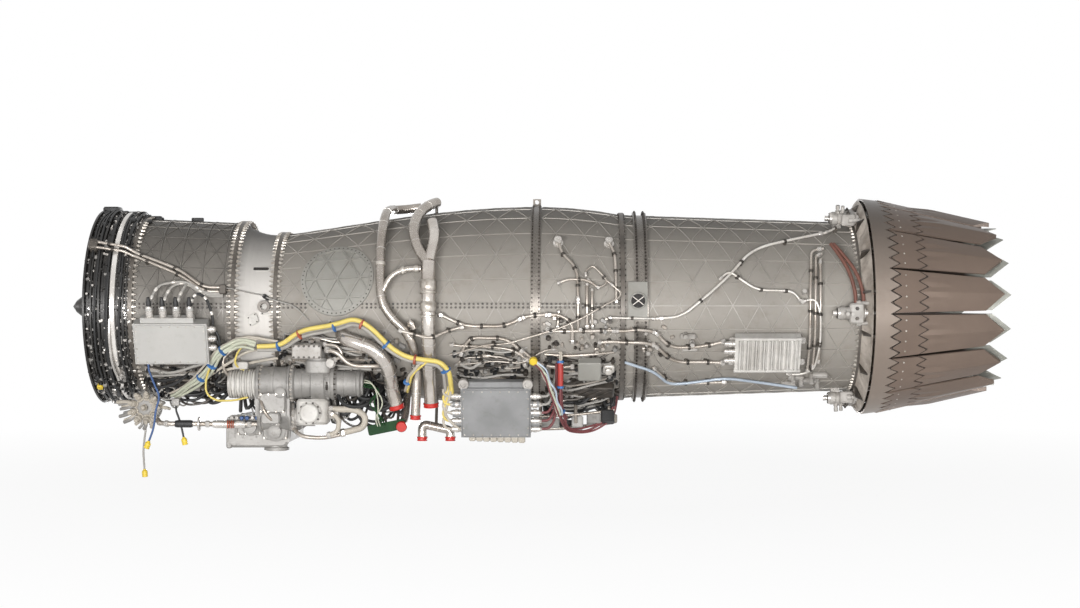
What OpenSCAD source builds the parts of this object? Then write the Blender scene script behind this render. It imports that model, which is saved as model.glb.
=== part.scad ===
// Afterburning turbofan jet engine, millimetres.
// +X runs aft along the engine axis, +Z is up, and the origin is the centre of the inlet flange face.

/* [Stations] */
// Length of the inlet case
inlet_len = 265; // [255:1:285]
// Length of the fan case
fan_len = 590; // [575:1:610]
// Length of the waisted intermediate case
waist_len = 236; // [226:1:250]
// Length of the front bypass duct
front_duct_len = 1525; // [1490:5:1560]
// Length of the rear bypass duct
rear_duct_len = 506; // [490:2:530]
// Length of the augmentor duct
aug_len = 1385; // [1360:5:1420]

/* [Skin] */
// Inner radius of the inlet
inlet_bore_r = 540; // [536:1:546]
// Outer radius of the fan case at its front
fan_front_r = 527; // [522:1:532]
// Outer radius of the fan case at its rear
fan_rear_r = 500; // [494:1:506]
// Outer radius at the waist
waist_r = 432; // [424:1:440]
// Outer radius at the widest part of the bypass duct
belly_r = 600; // [590:1:610]
// Fall of the skin along the rear bypass duct
rear_fall = 49; // [45:1:53]
// Narrowing of the augmentor duct from front to rear
aug_taper = 46; // [42:1:50]
// Wall of the cases and ducts
wall = 6; // [5:0.5:7]
// Height of a bolted flange above the skin
flange_h = 18; // [14:1:22]
// Thickness of a bolted flange
flange_t = 12; // [10:1:14]
// Height of the bolted rail along each case split
rail_h = 8; // [6:1:10]
// Angle that a split rail covers
rail_deg = 3.4; // [2.6:0.2:4.2]

/* [Inlet] */
// Height of the inlet flange above the inlet ring
inlet_flange_h = 35; // [32:1:40]
// Bolts in the inlet flange
inlet_bolts = 40; // [36:2:44]
// Distance of the inlet bolts from the edge of the flange
inlet_bolt_edge = 16; // [14:0.5:18]
// Radius of an inlet bolt hole
inlet_bolt_r = 5.2; // [4.2:0.2:6.2]
// Wall of the inlet ring
inlet_wall = 10; // [8:1:12]
// Height of the stiffening rib around the inlet
inlet_rib_h = 24; // [18:1:28]
// Struts in the inlet
inlet_struts = 19; // [17:1:21]
// Thickness of an inlet strut
inlet_strut_t = 18; // [14:1:22]
// Radius of the inlet hub
hub_r = 150; // [144:1:156]
// Length of the nose cone ahead of the flange face
nose_len = 205; // [195:1:215]
// Wall of the nose cone
nose_wall = 5; // [4:0.5:6]
// Width of the vane drive ring
vane_ring_w = 28; // [22:1:34]
// Height of the vane drive ring
vane_ring_h = 15; // [12:1:18]

/* [Rotors] */
// Blades in the first fan row
fan_blades = 20; // [18:1:22]
// Thickness of a fan blade
fan_blade_t = 9; // [7:0.5:11]
// Blade setting angle
blade_angle = 35; // [30:1:38]
// Radial gap at a blade tip
tip_gap = 6; // [5:0.5:8]
// Radius of the fan drum at its front
drum_front_r = 182; // [176:1:190]
// Radius of the fan drum at its rear
drum_rear_r = 262; // [256:1:268]
// Radius of the low spool shaft
low_shaft_r = 40; // [38:0.5:41]
// Outer radius of the high spool shaft
high_shaft_r = 66; // [64:0.5:70]
// Running clearance of a shaft in its bearing
run_gap = 0.05; // [0.03:0.01:0.08]
// Radius of the compressor drum
comp_drum_r = 205; // [198:1:212]
// Blades in a compressor row
comp_blades = 22; // [18:1:26]
// Blades in a turbine row
turbine_blades = 26; // [22:1:30]

/* [Core] */
// Outer radius of the core case at the compressor
core_front_r = 306; // [302:1:312]
// Outer radius of the core case at the combustor
core_burner_r = 388; // [382:1:392]
// Outer radius of the core case at the turbines
core_rear_r = 368; // [364:1:372]
// Vanes in the exhaust case
exhaust_vanes = 15; // [13:1:17]
// Thickness of an exhaust vane
exhaust_vane_t = 36; // [30:1:42]
// Length of the tail cone
tail_cone_len = 290; // [270:5:310]
// Space between the augmentor liner and the duct skin at the rear
liner_space = 33; // [28:1:38]
// Wall of the augmentor liner
liner_wall = 4; // [3:0.5:5]

/* [Nozzle] */
// Height of the cowl rim above the augmentor duct
cowl_room = 149; // [146:1:152]
// Length of the cowl to the middle of its saw teeth
cowl_len = 113; // [108:1:120]
// Fall of the cowl from its rim to its saw teeth
cowl_fall = 14; // [12:0.5:16]
// Thickness of the nozzle skins
skin_t = 5; // [4:0.5:5.5]
// Length of the first row of plates
plate_len = 170; // [160:1:180]
// Length of the petals from the plates to their points
petal_len = 490; // [475:1:505]
// Fall of the skin from the saw teeth to the petal points
petal_fall = 150; // [146:1:154]
// Length of the pointed end of a petal
point_len = 112; // [100:1:124]
// Height of the saw teeth
tooth_h = 58; // [50:1:66]
// Gap along the saw teeth
tooth_gap = 8; // [7:0.5:10]
// Gap between petals at the hinge
side_gap = 9; // [8:0.5:11]
// Gap between petals at the points
tip_side_gap = 24; // [22:1:28]
// Length of the inner flap beyond the petal point
inner_reach = 45; // [38:1:52]
// Fall of the inner skin from the liner to the throat
throat_fall = 34; // [30:1:38]
// Rise of the inner flap from the throat to its point
inner_rise = 40; // [37:1:42]
// Depth of the hinge line below the skin
hinge_drop = 24; // [22:0.5:26]
// Radius of a hinge pin
pin_r = 8; // [7:0.5:8.5]
// Angle from the horizontal of the first petal
petal_phase = 8.2; // [7.2:0.2:9.2]

/* [Nozzle drive] */
// Radius of an actuator body
actuator_r = 36; // [32:1:38]
// Length of an actuator body
actuator_len = 160; // [152:1:168]
// Radius of an actuator rod
rod_r = 12; // [10:0.5:13]
// Space between the drive ring and the hinge line
ring_drop = 22.5; // [20:0.5:25]
// Width of the drive ring
ring_w = 22; // [18:1:24]
// Height of the drive ring
ring_h = 40; // [34:1:44]

/* [Mounts] */
// Radius of a thrust boss
boss_r = 36; // [32:1:40]
// Height of a thrust boss
boss_h = 34; // [30:1:38]
// Radius of the hole in a thrust boss
boss_hole_r = 20; // [16:0.5:22]
// Depth of the hole in a thrust boss
boss_hole_depth = 28; // [24:1:29]
// Width of the mount ring
mount_ring_w = 56; // [48:1:64]
// Height of the mount ring
mount_ring_h = 9; // [7:0.5:12]
// Radius of the hole in the rear lug
lug_hole_r = 12; // [10:0.5:14]
// Thickness of the rear lug
lug_t = 30; // [26:1:36]

/* [Panels and boxes] */
// Radius of the round access panel
panel_r = 215; // [205:1:225]
// Thickness of the access panel
panel_t = 5; // [4:0.5:6]
// Length of the front control box
front_box_l = 426; // [410:2:440]
// Height of the front control box
front_box_h = 248; // [236:2:256]
// Depth of the front control box
front_box_d = 84; // [76:2:92]
// Length of the rear control box
rear_box_l = 405; // [390:2:420]
// Height of the rear control box
rear_box_h = 300; // [288:2:312]
// Depth of the rear control box
rear_box_d = 96; // [88:2:104]
// Length of the ignition box
ignition_box_l = 380; // [366:2:394]
// Height of the ignition box
ignition_box_h = 220; // [208:2:232]
// Depth of the ignition box
ignition_box_d = 62; // [54:2:70]
// Height of a box above the skin
box_stand = 34; // [30:1:40]
// Radius of a box foot
foot_r = 12; // [10:0.5:14]
// Gap between a foot and the skin under it
seat_gap = 0.3; // [0.2:0.05:0.5]

/* [Accessories] */
// Height of the accessory shaft line below the axis
starter_z = 452; // [446:1:458]
// Distance of the accessory shaft line to the side of the axis
starter_y = 400; // [394:1:406]
// Radius of the starter generator
starter_r = 100; // [94:1:103]
// Length of the starter generator
starter_len = 240; // [230:1:250]
// Radius of the narrow end of the starter generator
starter_end_r = 72; // [66:1:76]
// Length of the narrow end of the starter generator
starter_end_len = 185; // [176:1:194]
// Radius of the cooling motor
motor_r = 84; // [80:1:85]
// Length of the cooling motor
motor_len = 164; // [154:1:172]
// Cooling fins around the motor
motor_fins = 6; // [4:1:8]
// Radius of the oil pump
oil_r = 76; // [70:1:80]
// Length of the oil pump
oil_len = 160; // [150:1:172]
// Length of the gearbox
gearbox_l = 200; // [190:1:206]
// Depth of the gearbox bottom below the axis
gearbox_bottom = 800; // [790:1:810]
// Depth of the sump below the gearbox
sump_h = 56; // [48:1:62]

/* [Ducts and lines] */
// Radius of the tall bleed duct
tall_duct_r = 27; // [24:0.5:29]
// Radius of the forked bleed duct
fork_duct_r = 40; // [37:0.5:42]
// Radius of the arms of the forked duct
fork_arm_r = 31; // [28:0.5:33]
// Radius of the elbow duct
elbow_duct_r = 41; // [38:0.5:43]
// Radius of the low pipe with two ends
low_pipe_r = 26; // [23:0.5:28]
// Length of the hanging end of the tall duct
tall_end_len = 254; // [244:2:264]
// Length of the hanging end of the forked duct
fork_end_len = 110; // [100:2:120]
// Length of the hanging end of the elbow duct
elbow_end_len = 90; // [80:2:100]
// Height of the low pipe's axis above the skin
low_pipe_stand = 191; // [184:1:198]
// Length of the front end of the low pipe
low_end_len = 74; // [66:1:82]
// Height of the bleed duct axes above the skin
duct_stand = 62; // [60:0.5:66]
// Radius of a fluid tube
tube_r = 10; // [8:0.5:11]
// Height of the fluid tube axes above the skin
tube_stand = 28; // [27:0.5:32]
// Radius of the main cable harness
harness_r = 14; // [12:0.5:15]
// Height of the harness axis above the skin
harness_stand = 124; // [122:1:128]
// Radius of a hanging lead
lead_r = 6; // [5:0.5:7]

/* [Hidden] */
$fn = 72;
petals = 15;
teeth = 4;
actuators = 5;

// Stations along X
x_fan = inlet_len;
x_waist = x_fan + fan_len;
x_duct = x_waist + waist_len;
x_mount = x_duct + front_duct_len;
x_aug = x_mount + rear_duct_len;
x_tail = x_aug + aug_len;
x_cowl = x_tail + 64;
x_saw = x_cowl + cowl_len;
x_plate_end = x_saw + plate_len;
x_point = x_plate_end + petal_len;
x_hinge = x_saw + 20;
pitch = 360 / petals;
inlet_out_r = inlet_bore_r + inlet_wall;
inlet_flange_r = inlet_out_r + inlet_flange_h;
inlet_bolt_circle_r = inlet_flange_r - inlet_bolt_edge;
aug_front_r = belly_r - rear_fall;
aug_rear_r = aug_front_r - aug_taper;
liner_r = aug_rear_r - liner_space;
throat_r = liner_r - throat_fall;
inner_tip_r = throat_r + inner_rise;
cowl_r = aug_rear_r + cowl_room;
hinge_skin_r = cowl_r - cowl_fall;
petal_tip_r = hinge_skin_r - petal_fall;
x_taper = inlet_len - 50;
x_hub = 45;
hub_end = inlet_len - 15;
hub_bore_r = hub_r - 32;

// Finishes
dark_metal = [0.16, 0.16, 0.17];
tan_metal = [0.62, 0.58, 0.53];
grey_metal = [0.68, 0.68, 0.68];
bright_metal = [0.80, 0.80, 0.80];
hot_metal = [0.50, 0.42, 0.36];
petal_metal = [0.50, 0.45, 0.41];
inner_metal = [0.62, 0.63, 0.60];
box_paint = [0.72, 0.72, 0.71];
cap_red = [0.78, 0.10, 0.08];
harness_tan = [0.70, 0.66, 0.40];
cap_yellow = [0.90, 0.78, 0.10];

function lerp(a, b, t) = a + (b - a) * t;
function unit(v) = v / norm(v);

// Outer radius of the engine skin at a station, as one curve from the fan to the augmentor
function skin(x) =
  x < x_taper ? inlet_out_r :
  x < x_fan ? lerp(inlet_out_r, fan_front_r, (x - x_taper) / (x_fan - x_taper)) :
  x < x_waist ? lerp(fan_front_r, fan_rear_r, (x - x_fan) / fan_len) :
  x < x_duct ? lerp(waist_r, fan_rear_r, pow(1 - (x - x_waist) / waist_len, 3)) :
  x < x_mount ? lerp(waist_r, belly_r, sin(90 * pow((x - x_duct) / front_duct_len, 1.12))) :
  x < x_aug ? lerp(belly_r, aug_front_r, pow((x - x_mount) / rear_duct_len, 2)) :
  lerp(aug_front_r, aug_rear_r, min(1, (x - x_aug) / aug_len));

// Radius of a flat seat of half width w that clears the skin around a station
function seat(x, w) = max(skin(x - w), skin(x), skin(x + w)) + seat_gap;

// Point at a station, at an angle up from the near side, at a radius
function polar(x, phi, r) = [x, -r * cos(phi), r * sin(phi)];

// Nozzle skin radius aft of the cowl teeth
function petal_skin(x) = lerp(hinge_skin_r, petal_tip_r, (x - x_saw) / (x_point - x_saw));
hinge_r = petal_skin(x_hinge) - hinge_drop;
x_throat = x_hinge - 10;
x_inner_tip = x_point + inner_reach;
function inner_skin(x) = lerp(throat_r, inner_tip_r, (x - x_throat) / (x_inner_tip - x_throat));
function cowl_skin(x) = lerp(cowl_r, hinge_skin_r, (x - x_cowl) / cowl_len);

// Route along the skin through [station, angle] points, with extra points so that it follows the curve
function route(list, off) = concat(
  [for (i = [0 : len(list) - 2])
    let (a = list[i])
    let (b = list[i + 1])
    let (n = max(1, ceil(abs(b[1] - a[1]) / 20), ceil(abs(b[0] - a[0]) / 320)))
    for (k = [0 : n - 1])
      let (x = lerp(a[0], b[0], k / n))
      polar(x, lerp(a[1], b[1], k / n), skin(x) + off)],
  [let (e = list[len(list) - 1]) polar(e[0], e[1], skin(e[0]) + off)]);

// Route points moved aft by a station
function from(x0, list) = [for (p = list) [x0 + p[0], p[1]]];

// Route points given as shares of the front bypass duct
function along(list) = [for (p = list) [x_duct + p[0] * front_duct_len, p[1]]];

// Turns a [radius, station] outline about the engine axis
module turned(outline) {
  rotate([0, 90, 0])
    rotate_extrude()
      polygon(outline);
}

// Turns a [radius, station] outline through an angle centred on phi
module turned_part(outline, phi, deg) {
  rotate([90 - phi + deg / 2, 0, 0])
    rotate([0, 90, 0])
      rotate_extrude(angle = deg, start = 180 - deg, $fn = 216)
        polygon(outline);
}

// Places children at a station and angle, with local z pointing out from the axis
module at(x, phi, r = 0) {
  translate([x, 0, 0])
    rotate([90 - phi, 0, 0])
      translate([0, 0, r])
        children();
}

// Outline of the skin between two stations, from one offset to another
function skin_band(x0, x1, n, low, high) = concat(
  [for (i = [0 : n]) let (x = lerp(x0, x1, i / n)) [skin(x) + high, x]],
  [for (i = [n : -1 : 0]) let (x = lerp(x0, x1, i / n)) [skin(x) + low, x]]);

// Straight rod between two points
module rod(a, b, r) {
  d = unit(b - a);
  u = abs(d[2]) < 0.9 ? unit(cross(d, [0, 0, 1])) : unit(cross(d, [1, 0, 0]));
  w = cross(d, u);
  multmatrix([[u[0], w[0], d[0], a[0]], [u[1], w[1], d[1], a[1]], [u[2], w[2], d[2], a[2]], [0, 0, 0, 1]])
    cylinder(r = r, h = norm(b - a));
}

// Points of a route with each corner rounded by a curve no longer than big
function rounded(p, big) = concat(
  [p[0]],
  [for (i = [1 : len(p) - 2])
    let (l1 = norm(p[i] - p[i - 1]))
    let (l2 = norm(p[i + 1] - p[i]))
    let (t = min(big, 0.46 * l1, 0.46 * l2))
    let (a = p[i] + unit(p[i - 1] - p[i]) * t)
    let (b = p[i] + unit(p[i + 1] - p[i]) * t)
    let (n = unit(p[i] - p[i - 1]) * unit(p[i + 1] - p[i]) > 0.9 ? 2 : 4)
    for (k = [0 : n])
      let (u = k / n)
      a * (1 - u) * (1 - u) + p[i] * 2 * u * (1 - u) + b * u * u],
  [p[len(p) - 1]]);

function heading(p, i) = unit(p[min(i + 1, len(p) - 1)] - p[max(i - 1, 0)]);
function square_to(d) = abs(d[2]) < 0.9 ? unit(cross(d, [0, 0, 1])) : unit(cross(d, [1, 0, 0]));
function carried(n, d) = unit(n - d * (n * d));
function frames(p, i, n) =
  i >= len(p) ? [] :
  let (m = carried(n, heading(p, i)))
  concat([m], frames(p, i + 1, m));

// Round pipe along points, with the given number of sides
module pipe(pts, r, big = 120, sides = 8) {
  p = rounded(pts, big);
  f = frames(p, 0, square_to(heading(p, 0)));
  last = len(p) - 1;
  polyhedron(
    points = [
      for (i = [0 : last])
        let (w = cross(heading(p, i), f[i]))
        for (j = [0 : sides - 1])
          p[i] + r * (f[i] * cos(j * 360 / sides) + w * sin(j * 360 / sides))],
    faces = concat(
      [[for (j = [0 : sides - 1]) j]],
      [[for (j = [sides - 1 : -1 : 0]) last * sides + j]],
      [for (i = [0 : last - 1]) for (j = [0 : sides - 1])
        [i * sides + j, (i + 1) * sides + j, i * sides + (j + 1) % sides]],
      [for (i = [0 : last - 1]) for (j = [0 : sides - 1])
        [(i + 1) * sides + j, (i + 1) * sides + (j + 1) % sides, i * sides + (j + 1) % sides]]));
}

// Post from the skin up to a line of radius line_r whose axis is at an offset
module post(x, phi, off, r, line_r) {
  at(x, phi, seat(x, r))
    cylinder(r = r, h = skin(x) + off - line_r - 0.2 - seat(x, r));
}

// Aerofoil outline along X, from the front, with the given chord and thickness
module aerofoil(chord, t) {
  n = 6;
  polygon(concat(
    [for (i = [0 : n]) let (u = i / n) [u * chord, 2 * t * u * (1 - u)]],
    [for (i = [n - 1 : -1 : 1]) let (u = i / n) [u * chord, -2 * t * u * (1 - u)]]));
}

module inlet_case() color(dark_metal) {
  difference() {
    union() {
      turned([
        [inlet_bore_r, 0], [inlet_flange_r, 0], [inlet_flange_r, flange_t], [inlet_out_r, flange_t],
        [inlet_out_r, 84], [inlet_out_r + inlet_rib_h, 84], [inlet_out_r + inlet_rib_h, 96],
        [inlet_out_r, 96], [inlet_out_r, x_taper], [skin(inlet_len - flange_t), inlet_len - flange_t],
        [fan_front_r + flange_h, inlet_len - flange_t], [fan_front_r + flange_h, inlet_len],
        [fan_front_r - wall, inlet_len], [inlet_bore_r, x_taper]]);
      turned([[hub_bore_r, x_hub], [hub_r, x_hub], [hub_r, hub_end], [hub_bore_r, hub_end]]);
      for (i = [0 : inlet_struts - 1])
        at(60, i * 360 / inlet_struts, hub_r - 4)
          linear_extrude(inlet_bore_r - hub_r + 8)
            aerofoil(140, inlet_strut_t);
    }
    for (i = [0 : inlet_bolts - 1])
      rotate([i * 360 / inlet_bolts, 0, 0])
        translate([-1, 0, inlet_bolt_circle_r])
          rotate([0, 90, 0])
            cylinder(r = inlet_bolt_r, h = flange_t + 2);
  }
}

module nose_cone() color(grey_metal) {
  n = 10;
  full = nose_len + x_hub;
  turned(concat(
    [for (i = [0 : n]) [hub_r * pow(i / n, 0.62), i / n * full - nose_len]],
    [for (i = [n : -1 : 1]) [hub_r * pow(i / n, 0.62) - nose_wall, i / n * full - nose_len]],
    [[0, full / n - nose_len]]));
}

module vane_ring() color(dark_metal) {
  x0 = 116;
  low = inlet_out_r + seat_gap;
  turned([
    [low, x0], [low + vane_ring_h, x0], [low + vane_ring_h, x0 + vane_ring_w], [low, x0 + vane_ring_w]]);
  for (i = [0 : inlet_struts - 1])
    at(0, i * 360 / inlet_struts, low) {
      translate([x0 + vane_ring_w - 3, -7, 3])
        cube([50, 14, vane_ring_h - 6]);
      translate([x0 + vane_ring_w + 46, 0, 0])
        cylinder(r = 10, h = vane_ring_h - 2);
    }
}

module split_rails(x0, x1, n) {
  for (phi = [0.5, 180.5])
    turned_part(skin_band(x0, x1, n, -wall / 2, rail_h), phi, rail_deg);
}

// Flange on the skin at a station
module flange(x0, x1) {
  low = min(skin(x0), skin(x1)) - wall / 2;
  high = max(skin(x0), skin(x1)) + flange_h;
  turned([[low, x0], [high, x0], [high, x1], [low, x1]]);
}

module fan_case() color(tan_metal) {
  turned(skin_band(x_fan, x_waist, 1, -wall, 0));
  turned([
    [fan_front_r - wall / 2, x_fan], [fan_front_r + flange_h, x_fan],
    [fan_front_r + flange_h, x_fan + flange_t], [fan_front_r - wall / 2, x_fan + flange_t]]);
  flange(x_waist - flange_t, x_waist - 0.01);
  split_rails(x_fan + flange_t - 1, x_waist - flange_t + 1, 1);
}

// Fan rows: start station as a share of the fan case, and length
fan_rows = [[0.035, 96], [0.355, 84], [0.635, 72]];
stator_rows = [[0.235, 52], [0.525, 46], [0.79, 50]];
function drum(x) = lerp(drum_front_r, drum_rear_r, min(1, (x - x_fan) / (0.78 * fan_len)));

module fan_stators() color(grey_metal) {
  for (row = stator_rows) {
    x0 = x_fan + row[0] * fan_len;
    x1 = x0 + row[1];
    top = skin(x1) - wall - seat_gap;
    low = drum(x1) + 5;
    turned([[top - 5, x0], [top, x0], [top, x1], [top - 5, x1]]);
    turned([[low, x0], [low + 5, x0], [low + 5, x1], [low, x1]]);
    for (i = [0 : 2 * fan_blades - 17])
      at(x0 + 4, i * 360 / (2 * fan_blades - 16), low + 3)
        linear_extrude(top - low - 6)
          aerofoil(row[1] - 8, 8);
  }
}

module fan_rotor() color(bright_metal) {
  x0 = x_fan + 10;
  x1 = x_fan + 0.77 * fan_len;
  turned([
    [drum(x0) - 8, x0], [drum(x0), x0], [drum(x1), x1], [low_shaft_r + run_gap, x1],
    [low_shaft_r + run_gap, x1 - 14], [drum(x1) - 12, x1 - 14], [drum(x0 + 14) - 8, x0 + 14],
    [0, x0 + 14], [0, 180], [60, 180], [60, x0]]);
  for (k = [0 : 2]) {
    row = fan_rows[k];
    xr = x_fan + row[0] * fan_len;
    n = fan_blades + 4 * k;
    low = drum(xr) - 4;
    top = skin(xr + row[1]) - wall - tip_gap;
    for (i = [0 : n - 1])
      at(xr + row[1] / 2, i * 360 / n, low)
        rotate([0, 0, blade_angle])
          translate([-row[1] / 2, -fan_blade_t / 2, 0])
            cube([row[1], fan_blade_t, top - low]);
  }
}

mid_hub_r = 165;
mid_bore_r = 140;
splitter_r = core_front_r;

module intermediate_case() color(grey_metal) {
  n = 8;
  turned(skin_band(x_waist, x_duct, n, -wall, 0));
  turned([
    [fan_rear_r - wall / 2, x_waist], [fan_rear_r + flange_h, x_waist],
    [fan_rear_r + flange_h, x_waist + flange_t], [fan_rear_r - wall - 4, x_waist + flange_t]]);
  turned([
    [waist_r - wall / 2, x_duct - flange_t], [waist_r + flange_h, x_duct - flange_t],
    [waist_r + flange_h, x_duct], [waist_r - wall / 2, x_duct]]);
  turned([
    [splitter_r - wall, x_waist + 30], [splitter_r, x_waist + 36], [splitter_r, x_duct],
    [splitter_r - 22, x_duct], [splitter_r - 22, x_duct - 8], [splitter_r - wall, x_duct - 8]]);
  turned([
    [mid_bore_r, x_waist + 20], [mid_hub_r, x_waist + 20],
    [mid_hub_r, x_duct + 60], [mid_bore_r, x_duct + 60]]);
  intersection() {
    for (i = [0 : 8])
      at(x_waist + 44, i * 40 + 10, mid_hub_r - 4)
        linear_extrude(fan_rear_r)
          aerofoil(150, 26);
    turned(concat([[0, x_waist]],
      [for (i = [0 : n]) let (x = lerp(x_waist, x_duct, i / n)) [skin(x) - wall / 2, x]],
      [[0, x_duct]]));
  }
}

boss_x = x_duct - 62;
boss_seat_r = seat(boss_x, boss_r);
lug_base_r = belly_r + seat_gap + mount_ring_h;

module engine_mounts() color(bright_metal) {
  for (phi = [0, 180])
    at(boss_x, phi, boss_seat_r)
      difference() {
        cylinder(r = boss_r, h = boss_h);
        translate([0, 0, boss_h - boss_hole_depth])
          cylinder(r = boss_hole_r, h = boss_hole_depth + 1);
      }
  translate([x_mount, 0, lug_base_r + seat_gap])
    difference() {
      translate([-24, -lug_t / 2, 0])
        cube([48, lug_t, 42]);
      translate([0, lug_t / 2 + 1, 22])
        rotate([90, 0, 0])
          cylinder(r = lug_hole_r, h = lug_t + 2);
    }
}

duct_steps = 14;
duct_step = front_duct_len / duct_steps;
panel_x = x_duct + 366;
panel_phi = 19.6;
panel_seat = seat_gap + 0.2;

module front_duct() color(tan_metal) {
  difference() {
    union() {
      turned(skin_band(x_duct, x_mount, duct_steps, -wall, 0));
      turned([
        [waist_r - wall / 2, x_duct], [waist_r + flange_h, x_duct],
        [waist_r + flange_h, x_duct + flange_t], [waist_r - wall / 2, x_duct + flange_t]]);
      difference() {
        split_rails(x_duct + flange_t - 1, x_mount - mount_ring_w / 2 - 6, duct_steps);
        at(panel_x, panel_phi, 300)
          cylinder(r = panel_r + 4, h = 400);
      }
    }
    at(panel_x, panel_phi, 300)
      cylinder(r = panel_r - 30, h = 400);
  }
}

module access_panel() color(grey_metal) {
  intersection() {
    turned(skin_band(x_duct + duct_step, x_duct + 6 * duct_step, 5, panel_seat, panel_seat + panel_t));
    at(panel_x, panel_phi, 300)
      cylinder(r = panel_r, h = 400);
  }
  intersection() {
    turned(skin_band(x_duct + duct_step, x_duct + 6 * duct_step, 5, panel_seat, panel_seat + panel_t + 6));
    at(panel_x, panel_phi, 300)
      difference() {
        cylinder(r = panel_r, h = 400);
        translate([0, 0, -1])
          cylinder(r = panel_r - 22, h = 402);
      }
  }
}

module mount_ring() color(dark_metal) {
  low = belly_r + seat_gap;
  h = mount_ring_w / 2;
  turned([
    [low, x_mount - h], [low + mount_ring_h, x_mount - h],
    [low + mount_ring_h, x_mount + h], [low, x_mount + h]]);
}

module rear_duct() color(tan_metal) {
  turned(skin_band(x_mount, x_aug, 8, -wall, 0));
  turned([
    [aug_front_r - wall / 2, x_aug - flange_t], [aug_front_r + flange_h, x_aug - flange_t],
    [aug_front_r + flange_h, x_aug], [aug_front_r - wall / 2, x_aug]]);
}

module augmentor_duct() color(tan_metal) {
  turned(skin_band(x_aug, x_tail, 1, -wall, 0));
  turned([
    [aug_front_r - wall / 2, x_aug], [aug_front_r + flange_h, x_aug],
    [aug_front_r + flange_h, x_aug + flange_t], [aug_front_r - wall / 2, x_aug + flange_t]]);
  turned([
    [aug_rear_r - wall / 2, x_tail - flange_t], [aug_rear_r + flange_h, x_tail - flange_t],
    [aug_rear_r + flange_h, x_tail], [aug_rear_r - wall / 2, x_tail]]);
}

band_x = x_aug + 68;
band_w = 80;
band_top_r = seat(band_x, 0) + 20;

module clamp_band() color(bright_metal) {
  low = seat(band_x, 0);
  turned([
    [low, band_x], [band_top_r, band_x], [band_top_r, band_x + 12], [low + 4, band_x + 12],
    [low + 4, band_x + band_w - 12], [band_top_r, band_x + band_w - 12], [band_top_r, band_x + band_w],
    [low, band_x + band_w]]);
}

module vent_plate() color(bright_metal) {
  low = band_top_r + seat_gap;
  difference() {
    union() {
      turned_part([
        [low, band_x - 38], [low + 12, band_x - 38],
        [low + 12, band_x + band_w - 6], [low, band_x + band_w - 6]],
        3.3, 22);
      at(band_x + 20, 3.3, low + 6)
        cylinder(r = 48, h = 16);
    }
    at(band_x + 20, 3.3, low + 8)
      cylinder(r = 40, h = 16);
  }
}

x_comp_end = x_duct + 500;
x_burner = x_comp_end + 100;
x_burner_end = x_burner + 270;
x_turbine = x_burner_end + 45;
x_core_end = x_turbine + 345;

module core_case() color(grey_metal) {
  turned([
    [core_front_r, x_duct], [core_front_r, x_comp_end],
    [core_burner_r, x_burner], [core_burner_r, x_burner_end],
    [core_rear_r, x_turbine], [core_rear_r, x_core_end - 10], [core_rear_r + 16, x_core_end - 10],
    [core_rear_r + 16, x_core_end], [core_rear_r - wall, x_core_end], [core_rear_r - wall, x_turbine],
    [core_burner_r - wall, x_burner_end], [core_burner_r - wall, x_burner],
    [core_front_r - wall, x_comp_end], [core_front_r - wall, x_duct + 8], [core_front_r - 22, x_duct + 8],
    [core_front_r - 22, x_duct]]);
}

module combustor_liner() color(hot_metal) {
  x0 = x_burner + 10;
  x1 = x_burner_end;
  rim = core_burner_r - wall - seat_gap;
  top = core_burner_r - 36;
  low = core_burner_r - 160;
  turned([
    [low + 4, x1], [low, x1], [low, x0], [top, x0], [top, x0 + 20], [rim, x0 + 20], [rim, x0 + 28],
    [top, x0 + 28], [top, x1], [top - 4, x1], [top - 4, x0 + 6], [low + 4, x0 + 6]]);
}

module blade_row(x, chord, n, low, top, t, ang) {
  for (i = [0 : n - 1])
    at(x, i * 360 / n, low)
      rotate([0, 0, ang])
        translate([-chord / 2, -t / 2, 0])
          cube([chord, t, top - low]);
}

high_bore_r = low_shaft_r + 6;
x_high = x_duct + 20;

module high_compressor() color(bright_metal) {
  x0 = x_duct + 80;
  x1 = x_comp_end - 20;
  turned([
    [high_bore_r, x_high], [high_shaft_r, x_high], [high_shaft_r, x0], [comp_drum_r, x0], [comp_drum_r, x1],
    [high_shaft_r, x1], [high_shaft_r, x_turbine], [high_bore_r, x_turbine]]);
  for (k = [0 : 4])
    blade_row(
      lerp(x0, x1, (k + 0.5) / 5), 34, comp_blades, comp_drum_r - 3, core_front_r - wall - tip_gap, 5, 40);
}

module high_turbine() color(hot_metal) {
  turned([
    [high_bore_r, x_turbine], [high_shaft_r + 40, x_turbine], [270, x_turbine + 6], [270, x_turbine + 44],
    [high_shaft_r, x_turbine + 54], [high_bore_r, x_turbine + 54]]);
  blade_row(x_turbine + 26, 38, turbine_blades, 266, core_rear_r - wall - tip_gap - 2, 6, 40);
}

x_low_rear = x_core_end - 10;

module low_shaft() color(bright_metal) {
  turned([
    [0, x_fan + 0.55 * fan_len], [low_shaft_r, x_fan + 0.55 * fan_len], [low_shaft_r, x_turbine + 4],
    [high_bore_r - run_gap, x_turbine + 4], [high_bore_r - run_gap, x_turbine + 50],
    [low_shaft_r, x_turbine + 50], [low_shaft_r, x_low_rear + 90], [0, x_low_rear + 90]]);
}

module low_turbine() color(hot_metal) {
  x0 = x_turbine + 110;
  turned([
    [low_shaft_r + run_gap, x0], [230, x0], [262, x0 - 8], [262, x0 + 30], [225, x0 + 30], [225, x0 + 120],
    [262, x0 + 112], [262, x0 + 150], [230, x0 + 150], [low_shaft_r + run_gap, x0 + 150]]);
  for (k = [0, 1])
    blade_row(x0 + 11 + 120 * k, 32, turbine_blades, 258, core_rear_r - wall - tip_gap - 2, 6, -40);
}

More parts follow.
